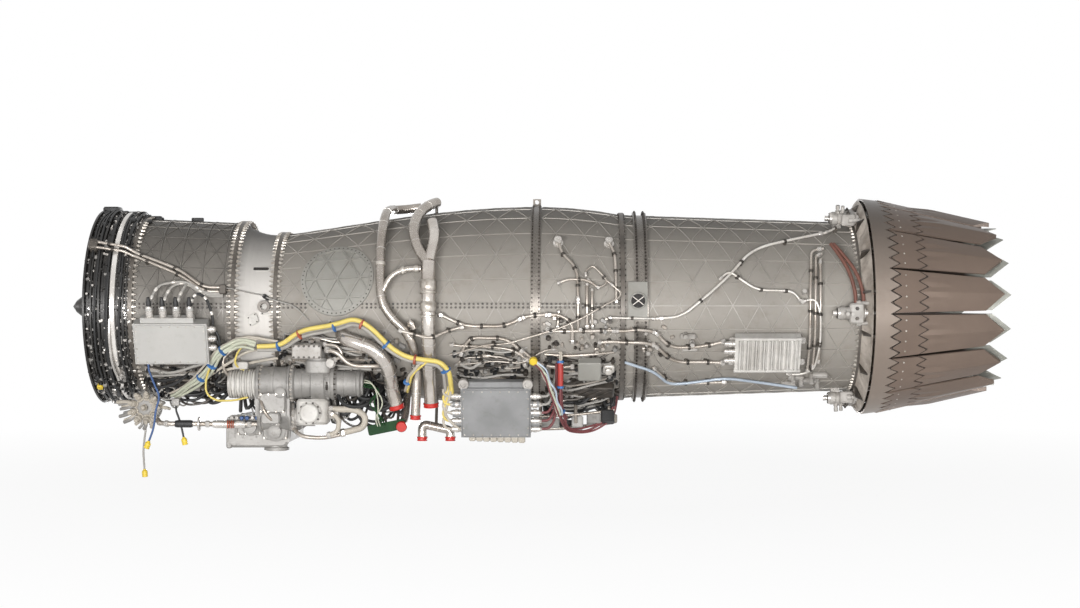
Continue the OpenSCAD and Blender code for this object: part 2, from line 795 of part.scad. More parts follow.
exhaust_hub_r = 190;
x_exhaust_end = x_core_end + 330;
rear_bore_r = 110;

module exhaust_case() color(hot_metal) {
  top0 = core_rear_r - wall;
  top1 = core_rear_r + 32;
  turned([
    [top0, x_core_end], [core_rear_r + 16, x_core_end], [core_rear_r + 16, x_core_end + 10],
    [core_rear_r, x_core_end + 10], [top1 + 8, x_exhaust_end], [top1, x_exhaust_end]]);
  turned([
    [rear_bore_r, x_core_end + 12], [exhaust_hub_r, x_core_end + 12], [exhaust_hub_r, x_exhaust_end],
    [exhaust_hub_r - 8, x_exhaust_end], [exhaust_hub_r - 8, x_core_end + 74], [rear_bore_r, x_core_end + 74]]);
  turned([
    [exhaust_hub_r - 8, x_exhaust_end + seat_gap], [exhaust_hub_r, x_exhaust_end + seat_gap],
    [0, x_exhaust_end + tail_cone_len], [0, x_exhaust_end + tail_cone_len - 12]]);
  intersection() {
    for (i = [0 : exhaust_vanes - 1])
      at(x_core_end + 40, i * 360 / exhaust_vanes + 6, exhaust_hub_r - 5)
        linear_extrude(core_rear_r)
          aerofoil(270, exhaust_vane_t);
    turned([[0, x_core_end], [top0 + 3, x_core_end + 5], [top1 + 3, x_exhaust_end], [0, x_exhaust_end]]);
  }
}

x_liner = x_exhaust_end + 20;
x_liner_end = x_tail - 70;

module augmentor_liner() color(inner_metal) {
  turned([
    [liner_r - liner_wall, x_liner], [liner_r, x_liner], [liner_r - 12, x_liner_end],
    [liner_r - 12 - liner_wall, x_liner_end]]);
  for (t = [0.3, 0.62, 0.95]) {
    x = lerp(x_liner, x_liner_end, t);
    low = lerp(liner_r, liner_r - 12, t) - liner_wall / 2;
    for (i = [0 : 7])
      at(x, i * 45 + 22.5, low)
        cylinder(r = 8, h = skin(x + 8) - wall - 0.5 - low);
  }
}

x_throat_end = x_throat - 26;

module throat_flaps() color(inner_metal) {
  x0 = x_tail - 58;
  top = skin(x0 + 16) - wall - 0.4;
  turned([[liner_r - 18, x0], [top, x0], [top, x0 + 16], [liner_r - 18, x0 + 16]]);
  for (i = [0 : petals - 1])
    turned_part([
      [liner_r - 12, x0 + 8], [liner_r - 4, x0 + 8], [throat_r + 6, x_throat_end], [throat_r, x_throat_end]],
      petal_phase + i * pitch, pitch - 0.8);
}

// Saw edge across one petal, as [station, side] points about a station
function saw(x, half) = [
  for (j = [0 : 2 * teeth])
    [x + (j % 2 == 0 ? -tooth_h / 2 : tooth_h / 2), lerp(-half, half, j / (2 * teeth))]];

// The same saw edge, with its two end teeth cut off at a side
function saw_cut(x, half, side) =
  let (full = saw(x, half))
  let (x_end = x - tooth_h / 2 + (half - side) * teeth * tooth_h / half)
  concat([[x_end, -side]], [for (j = [1 : 2 * teeth - 1]) full[j]], [[x_end, side]]);
saw_half = hinge_skin_r * tan(pitch / 2);

module nozzle_cowl() color(petal_metal) {
  half = 1.0625 * saw_half;
  difference() {
    turned([
      [cowl_r - skin_t - 7, x_cowl], [cowl_r, x_cowl], [cowl_skin(x_saw + 40), x_saw + 40],
      [cowl_skin(x_saw + 40) - skin_t, x_saw + 40],
      [cowl_r - skin_t, x_cowl + 6], [cowl_r - skin_t - 7, x_cowl + 6]]);
    for (i = [0 : petals - 1])
      at(0, petal_phase + i * pitch, hinge_skin_r - 60)
        linear_extrude(120)
          polygon(concat(saw(x_saw, saw_half), [[x_saw + 90, half], [x_saw + 90, -half]]));
  }
}

rib_t = 12;
rib_x = x_tail + flange_t;
x_rib_end = rib_x + 40;

module hinge_ring() color(dark_metal) {
  turned([
    [aug_rear_r - wall / 2, x_tail], [aug_rear_r + flange_h, x_tail],
    [aug_rear_r + flange_h, x_tail + flange_t], [aug_rear_r - wall / 2, x_tail + flange_t]]);
  top = cowl_skin(x_cowl + 70) - skin_t - seat_gap - 2;
  for (i = [0 : petals - 1])
    at(0, petal_phase + i * pitch) {
      translate([0, rib_t / 2, 0])
        rotate([90, 0, 0])
          linear_extrude(rib_t)
            polygon([
              [x_tail + 2, aug_rear_r], [rib_x + 20, aug_rear_r + 2], [x_rib_end, aug_rear_r + 40],
              [x_rib_end, hinge_r - 14], [x_hinge, hinge_r - 11], [x_hinge, hinge_r + 11],
              [x_hinge - 34, hinge_r + 8], [x_cowl + 60, top - 6],
              [x_cowl + 10, top], [x_tail + 2, top - 40]]);
      translate([x_hinge, 0, hinge_r])
        rotate([90, 0, 0]) {
          cylinder(r = 11.5, h = rib_t, center = true);
          cylinder(r = pin_r, h = 104, center = true);
        }
    }
}

actuator_phase = petal_phase - pitch / 2;
x_act = x_tail - 146;
ring_mid_r = hinge_r - ring_drop - ring_h / 2;
actuator_axis_r = ring_mid_r - 3;

module nozzle_actuators() color(bright_metal) {
  for (i = [0 : actuators - 1])
    at(0, actuator_phase + i * 360 / actuators) {
      difference() {
        translate([0, 0, actuator_axis_r])
          rotate([0, 90, 0]) {
            translate([0, 0, x_act])
              cylinder(r = actuator_r, h = actuator_len);
            translate([0, 0, x_act - 26])
              cylinder(r = 16, h = 30);
            translate([0, 0, x_act + actuator_len - 2])
              cylinder(r = rod_r + 8, h = 16);
          }
        translate([x_act + 30, 0, actuator_axis_r])
          rotate([0, 90, 0])
            cylinder(r = rod_r + run_gap, h = actuator_len);
      }
      translate([x_act + 20, -18, seat(x_act + 45, 25)])
        cube([50, 36, actuator_axis_r - actuator_r + 6 - seat(x_act + 45, 25)]);
    }
}

x_ring = x_rib_end + 53;

module sync_ring() color(grey_metal) {
  turned([
    [ring_mid_r - ring_h / 2, x_ring], [ring_mid_r + ring_h / 2, x_ring],
    [ring_mid_r + ring_h / 2, x_ring + ring_w], [ring_mid_r - ring_h / 2, x_ring + ring_w]]);
  for (i = [0 : actuators - 1])
    at(0, actuator_phase + i * 360 / actuators)
      translate([x_act + 76, 0, actuator_axis_r])
        rotate([0, 90, 0])
          cylinder(r = rod_r, h = x_ring + 6 - x_act - 76);
}

// One ring of bearing races between a bore and a shaft
module race(x, w, bore, shaft) {
  turned([[shaft + run_gap, x], [bore, x], [bore, x + w], [shaft + run_gap, x + w]]);
}

module shaft_bearings() color(bright_metal) {
  race(hub_end - 40, 26, hub_bore_r, 60);
  race(x_waist + 30, 26, mid_bore_r, low_shaft_r);
  race(x_duct + 28, 26, mid_bore_r, high_shaft_r);
  race(x_core_end + 30, 26, rear_bore_r, low_shaft_r);
}

x_pad = x_duct - 110;
x_pad_end = x_pad + gearbox_l;
oil_y = 330;
oil_z = 640;

module gearbox() color(grey_metal) {
  translate([x_pad, -starter_y, -starter_z])
    rotate([0, 90, 0])
      cylinder(r = starter_r, h = gearbox_l);
  translate([x_pad, -oil_y, -oil_z])
    rotate([0, 90, 0])
      cylinder(r = oil_r + 14, h = gearbox_l);
  translate([x_pad, -starter_y - 70, -oil_z])
    cube([gearbox_l, 140, oil_z - starter_z]);
  translate([x_pad + 20, -oil_y, -gearbox_bottom])
    cube([gearbox_l - 40, 580, gearbox_bottom - oil_z + 62]);
  translate([x_pad - 150, -oil_y + 40, -gearbox_bottom + 30])
    cube([180, 460, 120]);
  translate([x_pad + 90, -oil_y + 90, -gearbox_bottom - sump_h])
    cylinder(r = 62, h = sump_h + 20);
  for (phi = [-62, -90, -112])
    at(x_pad + 54, phi, seat(x_pad + 54, 16))
      cylinder(r = 16, h = oil_z - seat(x_pad + 54, 16));
}

module starter_generator() color(grey_metal) {
  translate([x_pad_end, -starter_y, -starter_z])
    rotate([0, 90, 0]) {
      cylinder(r = starter_r - 6, h = 14);
      cylinder(r = starter_r - 14, h = starter_len);
      translate([0, 0, starter_len - 60])
        cylinder(r = starter_r - 8, h = 30);
      cylinder(r = starter_end_r, h = starter_len + starter_end_len);
      translate([0, 0, starter_len + starter_end_len - 40])
        cylinder(r = starter_end_r + 5, h = 18);
    }
}

module oil_pump() color(bright_metal) {
  translate([x_pad_end, -oil_y, -oil_z])
    rotate([0, 90, 0]) {
      cylinder(r = oil_r, h = 16);
      cylinder(r = oil_r - 10, h = oil_len - 30);
      cylinder(r = oil_r - 26, h = oil_len);
    }
}

module cooling_motor() color(bright_metal) {
  translate([x_pad, -starter_y, -starter_z])
    rotate([0, -90, 0]) {
      cylinder(r = motor_r - 12, h = motor_len);
      for (i = [0 : motor_fins - 1])
        translate([0, 0, lerp(0, motor_len - 14, i / (motor_fins - 1))])
          cylinder(r = motor_r, h = 10);
    }
}

// Radial feet under a box, from the skin to a height above it
module box_feet(x, phi, l, h) {
  for (sx = [-1, 1])
    for (sp = [-1, 1]) {
      xf = x + sx * (l / 2 - 40);
      pf = phi + sp * asin((h / 2 - 36) / (skin(x) + box_stand));
      at(xf, pf, seat(xf, foot_r))
        cylinder(r = foot_r, h = (skin(x) + box_stand) / cos(pf - phi) + 8 - seat(xf, foot_r));
    }
}

front_box_x = x_fan + 251;
front_box_phi = -20;

module front_control_box() color(box_paint) {
  r0 = skin(front_box_x) + box_stand;
  at(front_box_x, front_box_phi, r0) {
    translate([-front_box_l / 2, -front_box_h / 2, 0])
      cube([front_box_l, front_box_h, front_box_d]);
    translate([-front_box_l / 2 + 42, front_box_h / 2 - 4, 14])
      cube([front_box_l - 120, 34, front_box_d - 30]);
    for (k = [0 : 3])
      translate([-front_box_l / 2 + 42 + (front_box_l - 120) * (0.163 + 0.255 * k), front_box_h / 2 + 26, 38])
        rotate([-90, 0, 0])
          cylinder(r = 21, h = 60);
  }
  box_feet(front_box_x, front_box_phi, front_box_l, front_box_h);
}

rear_box_x = x_mount - 231;
rear_box_phi = -52;
rear_box_tilt = 36;
rear_box_r = belly_r + 168;

module rear_control_box() color(box_paint) {
  at(rear_box_x, rear_box_phi, rear_box_r)
    rotate([-rear_box_tilt, 0, 0]) {
      translate([-rear_box_l / 2, -rear_box_h / 2, -rear_box_d / 2])
        cube([rear_box_l, rear_box_h, rear_box_d]);
      for (sx = [-1, 1])
        for (k = [0 : 2])
          translate([sx * (rear_box_l / 2 - 2), -rear_box_h / 2 + 70 + k * 60, 6])
            rotate([0, sx * 90, 0])
              cylinder(r = 18, h = 52);
    }
  for (sx = [-1, 1]) {
    xf = rear_box_x + sx * (rear_box_l / 2 - 60);
    for (pf = [-47, -59.5]) {
      back = (rear_box_r * cos(rear_box_tilt) - rear_box_d / 2) / cos(pf - rear_box_phi - rear_box_tilt);
      at(xf, pf, seat(xf, foot_r))
        cylinder(r = foot_r, h = back + 12 - seat(xf, foot_r));
    }
  }
}

ignition_x = x_aug + 838;
ignition_phi = -27;

module ignition_box() color(bright_metal) {
  r0 = skin(ignition_x) + box_stand;
  at(ignition_x, ignition_phi, r0) {
    translate([-ignition_box_l / 2, -ignition_box_h / 2, 0])
      cube([ignition_box_l, ignition_box_h, ignition_box_d]);
    for (k = [0 : 7]) {
      x = -ignition_box_l / 2 + 24 + k * (ignition_box_l - 56) / 7;
      translate([x, -ignition_box_h / 2 + 12, ignition_box_d - 2])
        cube([8, ignition_box_h - 24, 14]);
    }
  }
  box_feet(ignition_x, ignition_phi, ignition_box_l, ignition_box_h);
}

// Bleed duct routes, as [share of the front bypass duct, angle] points
tall_pts = along([
  [0.5338, 98], [0.4256, 98], [0.4098, 74], [0.4072, 40], [0.4151, 2], [0.4649, -8], [0.5338, -16],
  [0.5469, -38]]);
fork_pts = along([[0.5961, 24], [0.5974, -10], [0.5955, -34], [0.5948, -46]]);
fork_left = along([[0.6026, 84], [0.5410, 62], [0.5272, 46], [0.5534, 32], [0.5961, 23]]);
fork_right = along([[0.6, 52], [0.6157, 40], [0.5987, 25]]);
elbow_pts = along([[0.2879, -19], [0.3993, -23], [0.4466, -34], [0.4466, -50]]);

// Route that leaves the skin at its last point and hangs straight down
function hang(list, off, aft, low) =
  let (p = route(list, off))
  let (e = p[len(p) - 1])
  concat(p, [[e[0] + aft, 0.96 * e[1], e[2] - low]]);

tall_line = hang(tall_pts, duct_stand, -10, tall_end_len);
fork_line = hang(fork_pts, duct_stand + 6, 4, fork_end_len);
elbow_line = hang(elbow_pts, duct_stand + 40, 22, elbow_end_len);

// Low pipe under the belly, with one end down at each side
low_x0 = x_duct + 0.5554 * front_duct_len;
low_x1 = low_x0 + 167;
low_a = polar(low_x0, -69.4, skin(low_x0) + low_pipe_stand);
low_b = polar(low_x1, -70.4, skin(low_x1) + low_pipe_stand + 16);
low_line = [low_a - [0, 0, low_end_len], low_a, low_b, low_b - [0, 0, low_end_len / 2]];

module bleed_ducts() color(grey_metal) {
  pipe(tall_line, tall_duct_r, 80, 16);
  pipe(fork_line, fork_duct_r, 80, 16);
  pipe(route(fork_left, duct_stand + 6), fork_arm_r, 80, 16);
  pipe(route(fork_right, duct_stand + 6), fork_arm_r, 80, 16);
  pipe(elbow_line, elbow_duct_r, 80, 16);
  pipe(low_line, low_pipe_r, 40, 16);
  carrier((low_a + low_b) / 2);
  post(tall_pts[0][0], 98, duct_stand, 10, tall_duct_r);
  post(tall_pts[3][0], 40, duct_stand, 10, tall_duct_r);
  post(tall_pts[6][0], -16, duct_stand, 10, tall_duct_r);
  post(fork_left[0][0], 84, duct_stand + 6, 10, fork_arm_r);
  post(fork_right[0][0], 52, duct_stand + 6, 10, fork_arm_r);
  post(fork_pts[2][0], -34, duct_stand + 6, 10, fork_duct_r);
  post(elbow_pts[0][0], -19, duct_stand + 40, 12, elbow_duct_r);
  post(elbow_pts[3][0], -43, duct_stand + 40, 12, elbow_duct_r);
}

// Cap on the last point of a line
module end_cap(p, r) {
  e = p[len(p) - 1];
  d = unit(e - p[len(p) - 2]);
  rod(e + d * seat_gap, e + d * (26 + seat_gap), r + 6);
}

module duct_caps() color(cap_red) {
  end_cap(tall_line, tall_duct_r);
  end_cap(fork_line, fork_duct_r);
  end_cap(elbow_line, elbow_duct_r);
  end_cap(low_line, low_pipe_r);
  end_cap([low_line[1], low_line[0]], low_pipe_r);
}

// Tube with a post at each end
module line(list, r) {
  pipe(route(list, tube_stand), r, 60);
  for (i = [0, len(list) - 1])
    post(list[i][0], list[i][1], tube_stand, 6, r);
}

module fluid_tubes() color(bright_metal) {
  thin = tube_r * 0.8;
  line(concat(
    from(x_fan, [[35, 33.5], [240, 25], [295, 22]]),
    from(x_waist, [[-165, 12], [-55, 12]])), tube_r);
  line(along([[0.6354, -4], [0.7305, -10.7], [0.8846, -10.4], [0.9502, -6]]), tube_r);
  line(along([[0.7141, -28], [0.7469, -17], [0.8846, -17], [0.9436, -23], [0.9633, -34]]), tube_r);
  line(from(x_mount, [[74, -4.3], [144, -4.3], [214, -9], [214, -20]]), tube_r);
  line(concat(from(x_mount, [[74, -13]]), from(x_aug, [[-150, -13.4], [-42, -13.6]])), tube_r);
  line(from(x_mount, [[134, 38], [149, 30], [241, 21], [247, 3]]), thin);
  line(from(x_aug, [[-82, 40], [-44, 31], [-38, 2]]), thin);
}

module aft_tubes() color(bright_metal) {
  thin = tube_r * 0.8;
  line(from(x_aug, [[188, -15], [275, -25], [468, -24.4], [598, -21]]), tube_r);
  line(from(x_aug, [[188, -23], [301, -35], [468, -35], [598, -36]]), tube_r);
  line(from(x_aug, [[178, -38], [268, -50], [348, -53.4], [618, -53]]), thin);
  line(concat(
    from(x_aug, [[188, -7], [338, -6], [528, 10], [638, 21], [728, 33], [818, 39.5], [938, 44]]),
    from(x_tail, [[-177, 54]])), thin);
  for (k = [0 : 2])
    line(from(x_tail, [
      [-207 - 12 * k, 39 - 4.2 * k], [-281 + 24 * k, 37 - 4.2 * k],
      [-299 + 30 * k, 8], [-299 + 30 * k, -46 + 4 * k]]), thin);
  line(from(x_aug, [[558, 16], [618, 22], [688, 16], [778, 10], [988, 9.5], [1038, 2]]), tube_r * 0.7);
}

// Hanging leads under the fan case, from their fixed ends down
disc_at = [x_fan + 45, -300, -595];
disc_r = 95;
disc_low = disc_at + [0, -25, -disc_r];
clip_at = [x_fan + 240, -400, -560];
clip_low = clip_at - [0, 0, 20];
box_low = polar(front_box_x, front_box_phi, skin(front_box_x) + box_stand + front_box_d / 2)
  - front_box_h / 2 * [0, sin(front_box_phi), cos(front_box_phi)] - [front_box_l / 2 - 65, 0, 2.1];
grey_pts = [
  disc_low - [0, 0, 0.3], disc_low - [0, 0, 40], disc_low - [8, 0, 95], disc_low - [14, 5, 165],
  disc_low - [6, 5, 270]];
blue_pts = [
  box_low - [0, 0, 0.5], box_low - [0, 0, 42], box_low + [36, -12, -129], box_low + [72, -16, -201],
  box_low + [46, -18, -277], box_low + [35, -14, -382], box_low + [6, -12, -459]];
black_pts = [
  clip_low - [0, 0, 0.3], clip_low - [0, 0, 32], clip_low + [22, -8, -84], clip_low + [36, -10, -136],
  clip_low + [46, -8, -186]];

harness_pts = along([
  [-0.0610, -24], [0.0262, -24], [0.1043, -14], [0.2426, -10], [0.3207, -6], [0.3862, -11], [0.4584, -21],
  [0.5174, -25.5], [0.6426, -27], [0.6748, -32], [0.6787, -45]]);

module cable_harness() color(harness_tan) {
  pipe(route(harness_pts, harness_stand), harness_r, 80);
  for (i = [0, len(harness_pts) - 1])
    post(harness_pts[i][0], harness_pts[i][1], harness_stand, 7, harness_r);
  translate(disc_at)
    rotate([90, 0, 0])
      cylinder(r = disc_r, h = 50);
  carrier(disc_at - [0, 25, 0]);
  translate(clip_at - [20, 20, 20])
    cube(40);
  carrier(clip_at);
}

// Post from the skin out to a point below it
module carrier(p) {
  far = norm([p[1], p[2]]);
  phi = atan2(p[2], -p[1]);
  at(p[0], phi, seat(p[0], 10))
    cylinder(r = 10, h = far - seat(p[0], 10));
}

module lead_grey() color(grey_metal) {
  pipe(grey_pts, lead_r);
}

module lead_blue() color([0.25, 0.42, 0.75]) {
  pipe(blue_pts, lead_r);
}

module lead_black() color(dark_metal) {
  pipe(black_pts, lead_r);
}

module lead_caps() color(cap_yellow) {
  for (p = [grey_pts, blue_pts, black_pts]) {
    e = p[len(p) - 1];
    rod(e, e + unit(e - p[len(p) - 2]) * 46, 17);
  }
}

// Skin plate of one petal between two outlines of [station, side] points
module petal_skin_plate(outline) {
  intersection() {
    turned_part([
      [petal_skin(x_saw - 60), x_saw - 60], [petal_skin(x_point + 20), x_point + 20],
      [petal_skin(x_point + 20) - skin_t, x_point + 20], [petal_skin(x_saw - 60) - skin_t, x_saw - 60]],
      90, pitch + 4);
    translate([0, 0, petal_tip_r * 0.78])
      linear_extrude(hinge_skin_r * 0.5)
        polygon(outline);
  }
}

function half_width(x) =
  petal_skin(x) * sin(pitch / 2) - lerp(side_gap, tip_side_gap, (x - x_saw) / (x_point - x_saw)) / 2;
function inner_half(x) = inner_skin(x) * sin(pitch / 2)
  - lerp(side_gap, tip_side_gap, (x - x_throat) / (x_inner_tip - x_throat)) / 2;
function flip(list) = [for (i = [len(list) - 1 : -1 : 0]) list[i]];

module petal(k) {
  w0 = half_width(x_saw);
  w1 = half_width(x_plate_end);
  x_shoulder = x_point - point_len;
  x_web = x_plate_end - 56;
  knuckle_r = pin_r + 6;
  at(0, petal_phase + k * pitch) {
    color(petal_metal) {
      petal_skin_plate(concat(saw_cut(x_saw + tooth_gap, saw_half, w0), flip(saw(x_plate_end, w1))));
      petal_skin_plate(concat(saw(x_plate_end + tooth_gap, w1),
        [[x_shoulder, half_width(x_shoulder)], [x_point, 0], [x_shoulder, -half_width(x_shoulder)]]));
    }
    color(inner_metal)
      intersection() {
        turned_part([
          [inner_skin(x_throat), x_throat], [inner_skin(x_inner_tip), x_inner_tip],
          [inner_skin(x_inner_tip) - skin_t, x_inner_tip], [inner_skin(x_throat) - skin_t, x_throat]],
          90, pitch + 4);
        translate([0, 0, throat_r * 0.87])
          linear_extrude(throat_r * 0.46)
            polygon([
              [x_throat - 1, -inner_half(x_throat)], [x_throat - 1, inner_half(x_throat)],
              [x_inner_tip - point_len, inner_half(x_inner_tip - point_len)], [x_inner_tip, 0],
              [x_inner_tip - point_len, -inner_half(x_inner_tip - point_len)]]);
      }
    color(dark_metal) {
      for (y = [-44, 44])
        translate([0, y + 3, 0])
          rotate([90, 0, 0])
            linear_extrude(6)
              polygon([
                [x_web, inner_skin(x_web) - 4], [x_web, petal_skin(x_web) - 4.2],
                [x_shoulder - 20, petal_skin(x_shoulder - 20) - 4.2],
                [x_shoulder - 20, inner_skin(x_shoulder - 20) - 4]]);
      difference() {
        for (y = [-46, 8])
          translate([x_hinge, y, hinge_r]) {
            rotate([-90, 0, 0])
              cylinder(r = knuckle_r, h = 38);
            translate([-6, y < 0 ? 26 : 0, 0])
              cube([12, 12, hinge_drop - 4.4]);
          }
        translate([x_hinge, 60, hinge_r])
          rotate([90, 0, 0])
            cylinder(r = pin_r + run_gap, h = 120);
      }
    }
  }
}

inlet_case();
nose_cone();
vane_ring();
fan_case();
fan_stators();
fan_rotor();
intermediate_case();
engine_mounts();
front_duct();
access_panel();
mount_ring();
rear_duct();
augmentor_duct();
clamp_band();
vent_plate();
core_case();
combustor_liner();
exhaust_case();
augmentor_liner();
throat_flaps();
nozzle_cowl();
hinge_ring();
nozzle_actuators();
sync_ring();
low_shaft();
low_turbine();
high_compressor();
high_turbine();
shaft_bearings();
gearbox();
starter_generator();
oil_pump();
cooling_motor();
front_control_box();
rear_control_box();
ignition_box();
bleed_ducts();
duct_caps();
fluid_tubes();
aft_tubes();
cable_harness();
lead_grey();
lead_blue();
lead_black();
lead_caps();
petal(0);  // petal_01
petal(1);  // petal_02
petal(2);  // petal_03
petal(3);  // petal_04
petal(4);  // petal_05
petal(5);  // petal_06
petal(6);  // petal_07
petal(7);  // petal_08
petal(8);  // petal_09
petal(9);  // petal_10
petal(10);  // petal_11
petal(11);  // petal_12
petal(12);  // petal_13
petal(13);  // petal_14
petal(14);  // petal_15
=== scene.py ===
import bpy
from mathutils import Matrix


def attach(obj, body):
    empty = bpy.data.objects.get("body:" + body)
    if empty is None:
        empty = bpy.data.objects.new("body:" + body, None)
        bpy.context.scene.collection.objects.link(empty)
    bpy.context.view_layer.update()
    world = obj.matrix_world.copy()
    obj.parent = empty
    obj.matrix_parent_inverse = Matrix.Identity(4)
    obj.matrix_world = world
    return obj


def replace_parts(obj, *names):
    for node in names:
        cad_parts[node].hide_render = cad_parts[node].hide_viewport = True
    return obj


bl_info = {
    "name": "Jet engine dressing",
    "version": (1, 0, 0),
    "blender": (4, 5, 0),
    "location": "View3D > Sidebar > Engine",
    "description": "Finishes, fittings, pipes and cables of an afterburning jet engine",
    "category": "Object",
}

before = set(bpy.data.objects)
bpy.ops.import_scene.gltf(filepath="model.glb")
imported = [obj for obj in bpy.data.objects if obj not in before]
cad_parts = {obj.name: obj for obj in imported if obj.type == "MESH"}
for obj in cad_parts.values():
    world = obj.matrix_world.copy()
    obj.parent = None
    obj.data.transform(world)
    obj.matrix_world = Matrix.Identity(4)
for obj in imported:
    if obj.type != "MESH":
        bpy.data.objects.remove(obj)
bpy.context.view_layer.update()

import math

import bmesh
import bpy
import numpy as np
from bpy.props import FloatProperty, FloatVectorProperty, IntProperty, PointerProperty

MM = 0.001
WELD = 0.00002
MATS = {}


# Stations of the engine along its axis, in millimetres from the inlet flange
X_FAN, X_WAIST, X_DUCT, X_MOUNT, X_AUG, X_TAIL = 265.0, 855.0, 1091.0, 2616.0, 3122.0, 4507.0
X_SAW, X_PLATE_END, X_POINT = 4684.0, 4854.0, 5344.0
PETALS, TEETH, TOOTH_H, TOOTH_GAP, POINT_LEN = 15, 4, 58.0, 8.0, 112.0
PETAL_PHASE, PITCH = 8.2, 24.0
# Radius at which lines are unrolled, centre of the round panel and seat of the front box
MEAN_R = 560.0
PANEL_X, PANEL_PHI = 1457.0, 19.6
BOX_X, BOX_PHI = 516.0, -20.0
# Depth and height of the starter's axis and of the lower drive's
SHAFT, DRIVE = (-400, -452), (-330, -640)


def skin(x):
    """Outside radius of the cases: each length between two flanges has its own line or curve."""
    x = np.asarray(x, float)
    inlet = np.where(x < 215, 550.0, 550 - 23 * np.clip((x - 215) / 50, 0, 1))
    fan = 527 - 27 * (x - X_FAN) / (X_WAIST - X_FAN)
    waist = 432 + 68 * (1 - np.clip((x - X_WAIST) / (X_DUCT - X_WAIST), 0, 1)) ** 3
    front = 432 + 168 * np.sin(np.pi / 2 * np.clip((x - X_DUCT) / (X_MOUNT - X_DUCT), 0, 1) ** 1.12)
    rear = 600 - 49 * np.clip((x - X_MOUNT) / (X_AUG - X_MOUNT), 0, 1) ** 2
    aug = 551 - 46 * (x - X_AUG) / (X_TAIL - X_AUG)
    return np.select([x < X_FAN, x < X_WAIST, x < X_DUCT, x < X_MOUNT, x < X_AUG], [inlet, fan, waist, front, rear],
        aug)


def from_panel(x, phi):
    """Distance along the skin from the centre of the round panel."""
    return np.hypot(x - PANEL_X, np.radians(phi - PANEL_PHI) * skin(x))


def petal_radius(x):
    """Outside radius of the closed petals: a straight taper from the cowl to the tips."""
    return 640 - 150 * (np.asarray(x, float) - X_SAW) / (X_POINT - X_SAW)


def petal_half(x):
    """Half the width of a petal at a station: half its pitch less half the gap, which widens aft."""
    gap = 9 + 15 * (np.asarray(x, float) - X_SAW) / (X_POINT - X_SAW)
    return petal_radius(x) * math.sin(math.radians(PITCH / 2)) - gap / 2


def polar(x, phi, r):
    """Point at a station, an angle in degrees up from the near side, and a radius, in millimetres."""
    x, a, r = np.broadcast_arrays(np.asarray(x, float), np.radians(phi), np.asarray(r, float))
    return np.stack([x, -r * np.cos(a), r * np.sin(a)], -1)


def on_skin(x, phi, up=-1.0):
    """Point at a station and an angle, at a height above the skin, or just below it."""
    return polar(x, phi, skin(x) + up)


def axes_at(phi):
    """Rows of local axes at an angle: along the engine, upwards round it, and outwards."""
    a = np.radians(np.atleast_1d(np.asarray(phi, float)))
    zero = np.zeros_like(a)
    along = np.stack([zero + 1, zero, zero], -1)
    round_ = np.stack([zero, np.sin(a), np.cos(a)], -1)
    out = np.stack([zero, -np.cos(a), np.sin(a)], -1)
    return np.stack([along, round_, out], 1)


def turned_axes(phi, spin):
    """Local axes at an angle, spun in degrees about the outward direction."""
    base = axes_at(phi)
    s = np.radians(np.broadcast_to(np.asarray(spin, float), base.shape[:1]))[:, None]
    x = np.cos(s) * base[:, 0] + np.sin(s) * base[:, 1]
    y = -np.sin(s) * base[:, 0] + np.cos(s) * base[:, 1]
    return np.stack([x, y, base[:, 2]], 1)


# Rows of axes of shapes that stand up, or point to the near side, the far side, aft and forward
UPRIGHT = np.eye(3)[None]
FACING = np.array([[[1.0, 0, 0], [0, 0, 1.0], [0, -1.0, 0]]])
AWAY = np.array([[[-1.0, 0, 0], [0, 0, 1.0], [0, 1.0, 0]]])
AFT = np.array([[[0, 1.0, 0], [0, 0, 1.0], [1.0, 0, 0]]])
FORE = np.array([[[0, -1.0, 0], [0, 0, 1.0], [-1.0, 0, 0]]])


def axes_along(direction, ref):
    """Rows of axes with z along a direction and x square to it and to a reference."""
    z = np.atleast_2d(direction)
    x = np.cross(z, ref)
    x = x / np.linalg.norm(x, axis=1)[:, None]
    return np.stack([x, np.cross(z, x), z], 1)


def own_axes(centre, axes):
    """A function that carries points given in a box's own axes to the engine's frame."""
    def local(x, y, z):
        return centre + np.stack(np.broadcast_arrays(x, y, z), -1).astype(float).reshape(-1, 3) @ axes[0]
    return local


def bolt_circle(centre, count, radius, axes, height=0.0):
    """Points round a circle about a centre, square to the third of its axes, at a height along it."""
    t = np.arange(count) * 2 * np.pi / count
    flat = np.stack([radius * np.cos(t), radius * np.sin(t), np.full(count, height)], -1)
    return np.asarray(centre) + flat @ axes[0]


def grid_quads(rows, cols, wrap=True):
    """Four-sided faces of a grid of points kept row by row; a wrapped row joins its end to its start."""
    i, j = np.meshgrid(np.arange(rows - 1), np.arange(cols if wrap else cols - 1), indexing="ij")
    k = (j + 1) % cols
    return np.stack([i * cols + j, i * cols + k, (i + 1) * cols + k, (i + 1) * cols + j], -1).reshape(-1, 4)


def join(*surfaces):
    """Several surfaces as one: their points in a row and their faces counted on."""
    starts = np.cumsum([0] + [len(s[0]) for s in surfaces[:-1]])
    return (np.concatenate([s[0] for s in surfaces]), np.concatenate([s[1] + n for s, n in zip(surfaces, starts)]))


def turned(profile, sides=24):
    """A profile of (radius, height) turned about z: x = r cos t, y = r sin t, z = height."""
    p = np.asarray(profile, float)
    t = np.arange(sides) * 2 * np.pi / sides
    pts = np.stack([p[:, :1] * np.cos(t), p[:, :1] * np.sin(t), np.repeat(p[:, 1:], sides, 1)], -1)
    return pts.reshape(-1, 3), grid_quads(len(p), sides)


def lathe(profile, sides=24):
    """A profile of (radius, height) closed to the axis at both ends and turned about z."""
    return turned([(0, profile[0][1]), *profile, (0, profile[-1][1])], sides)


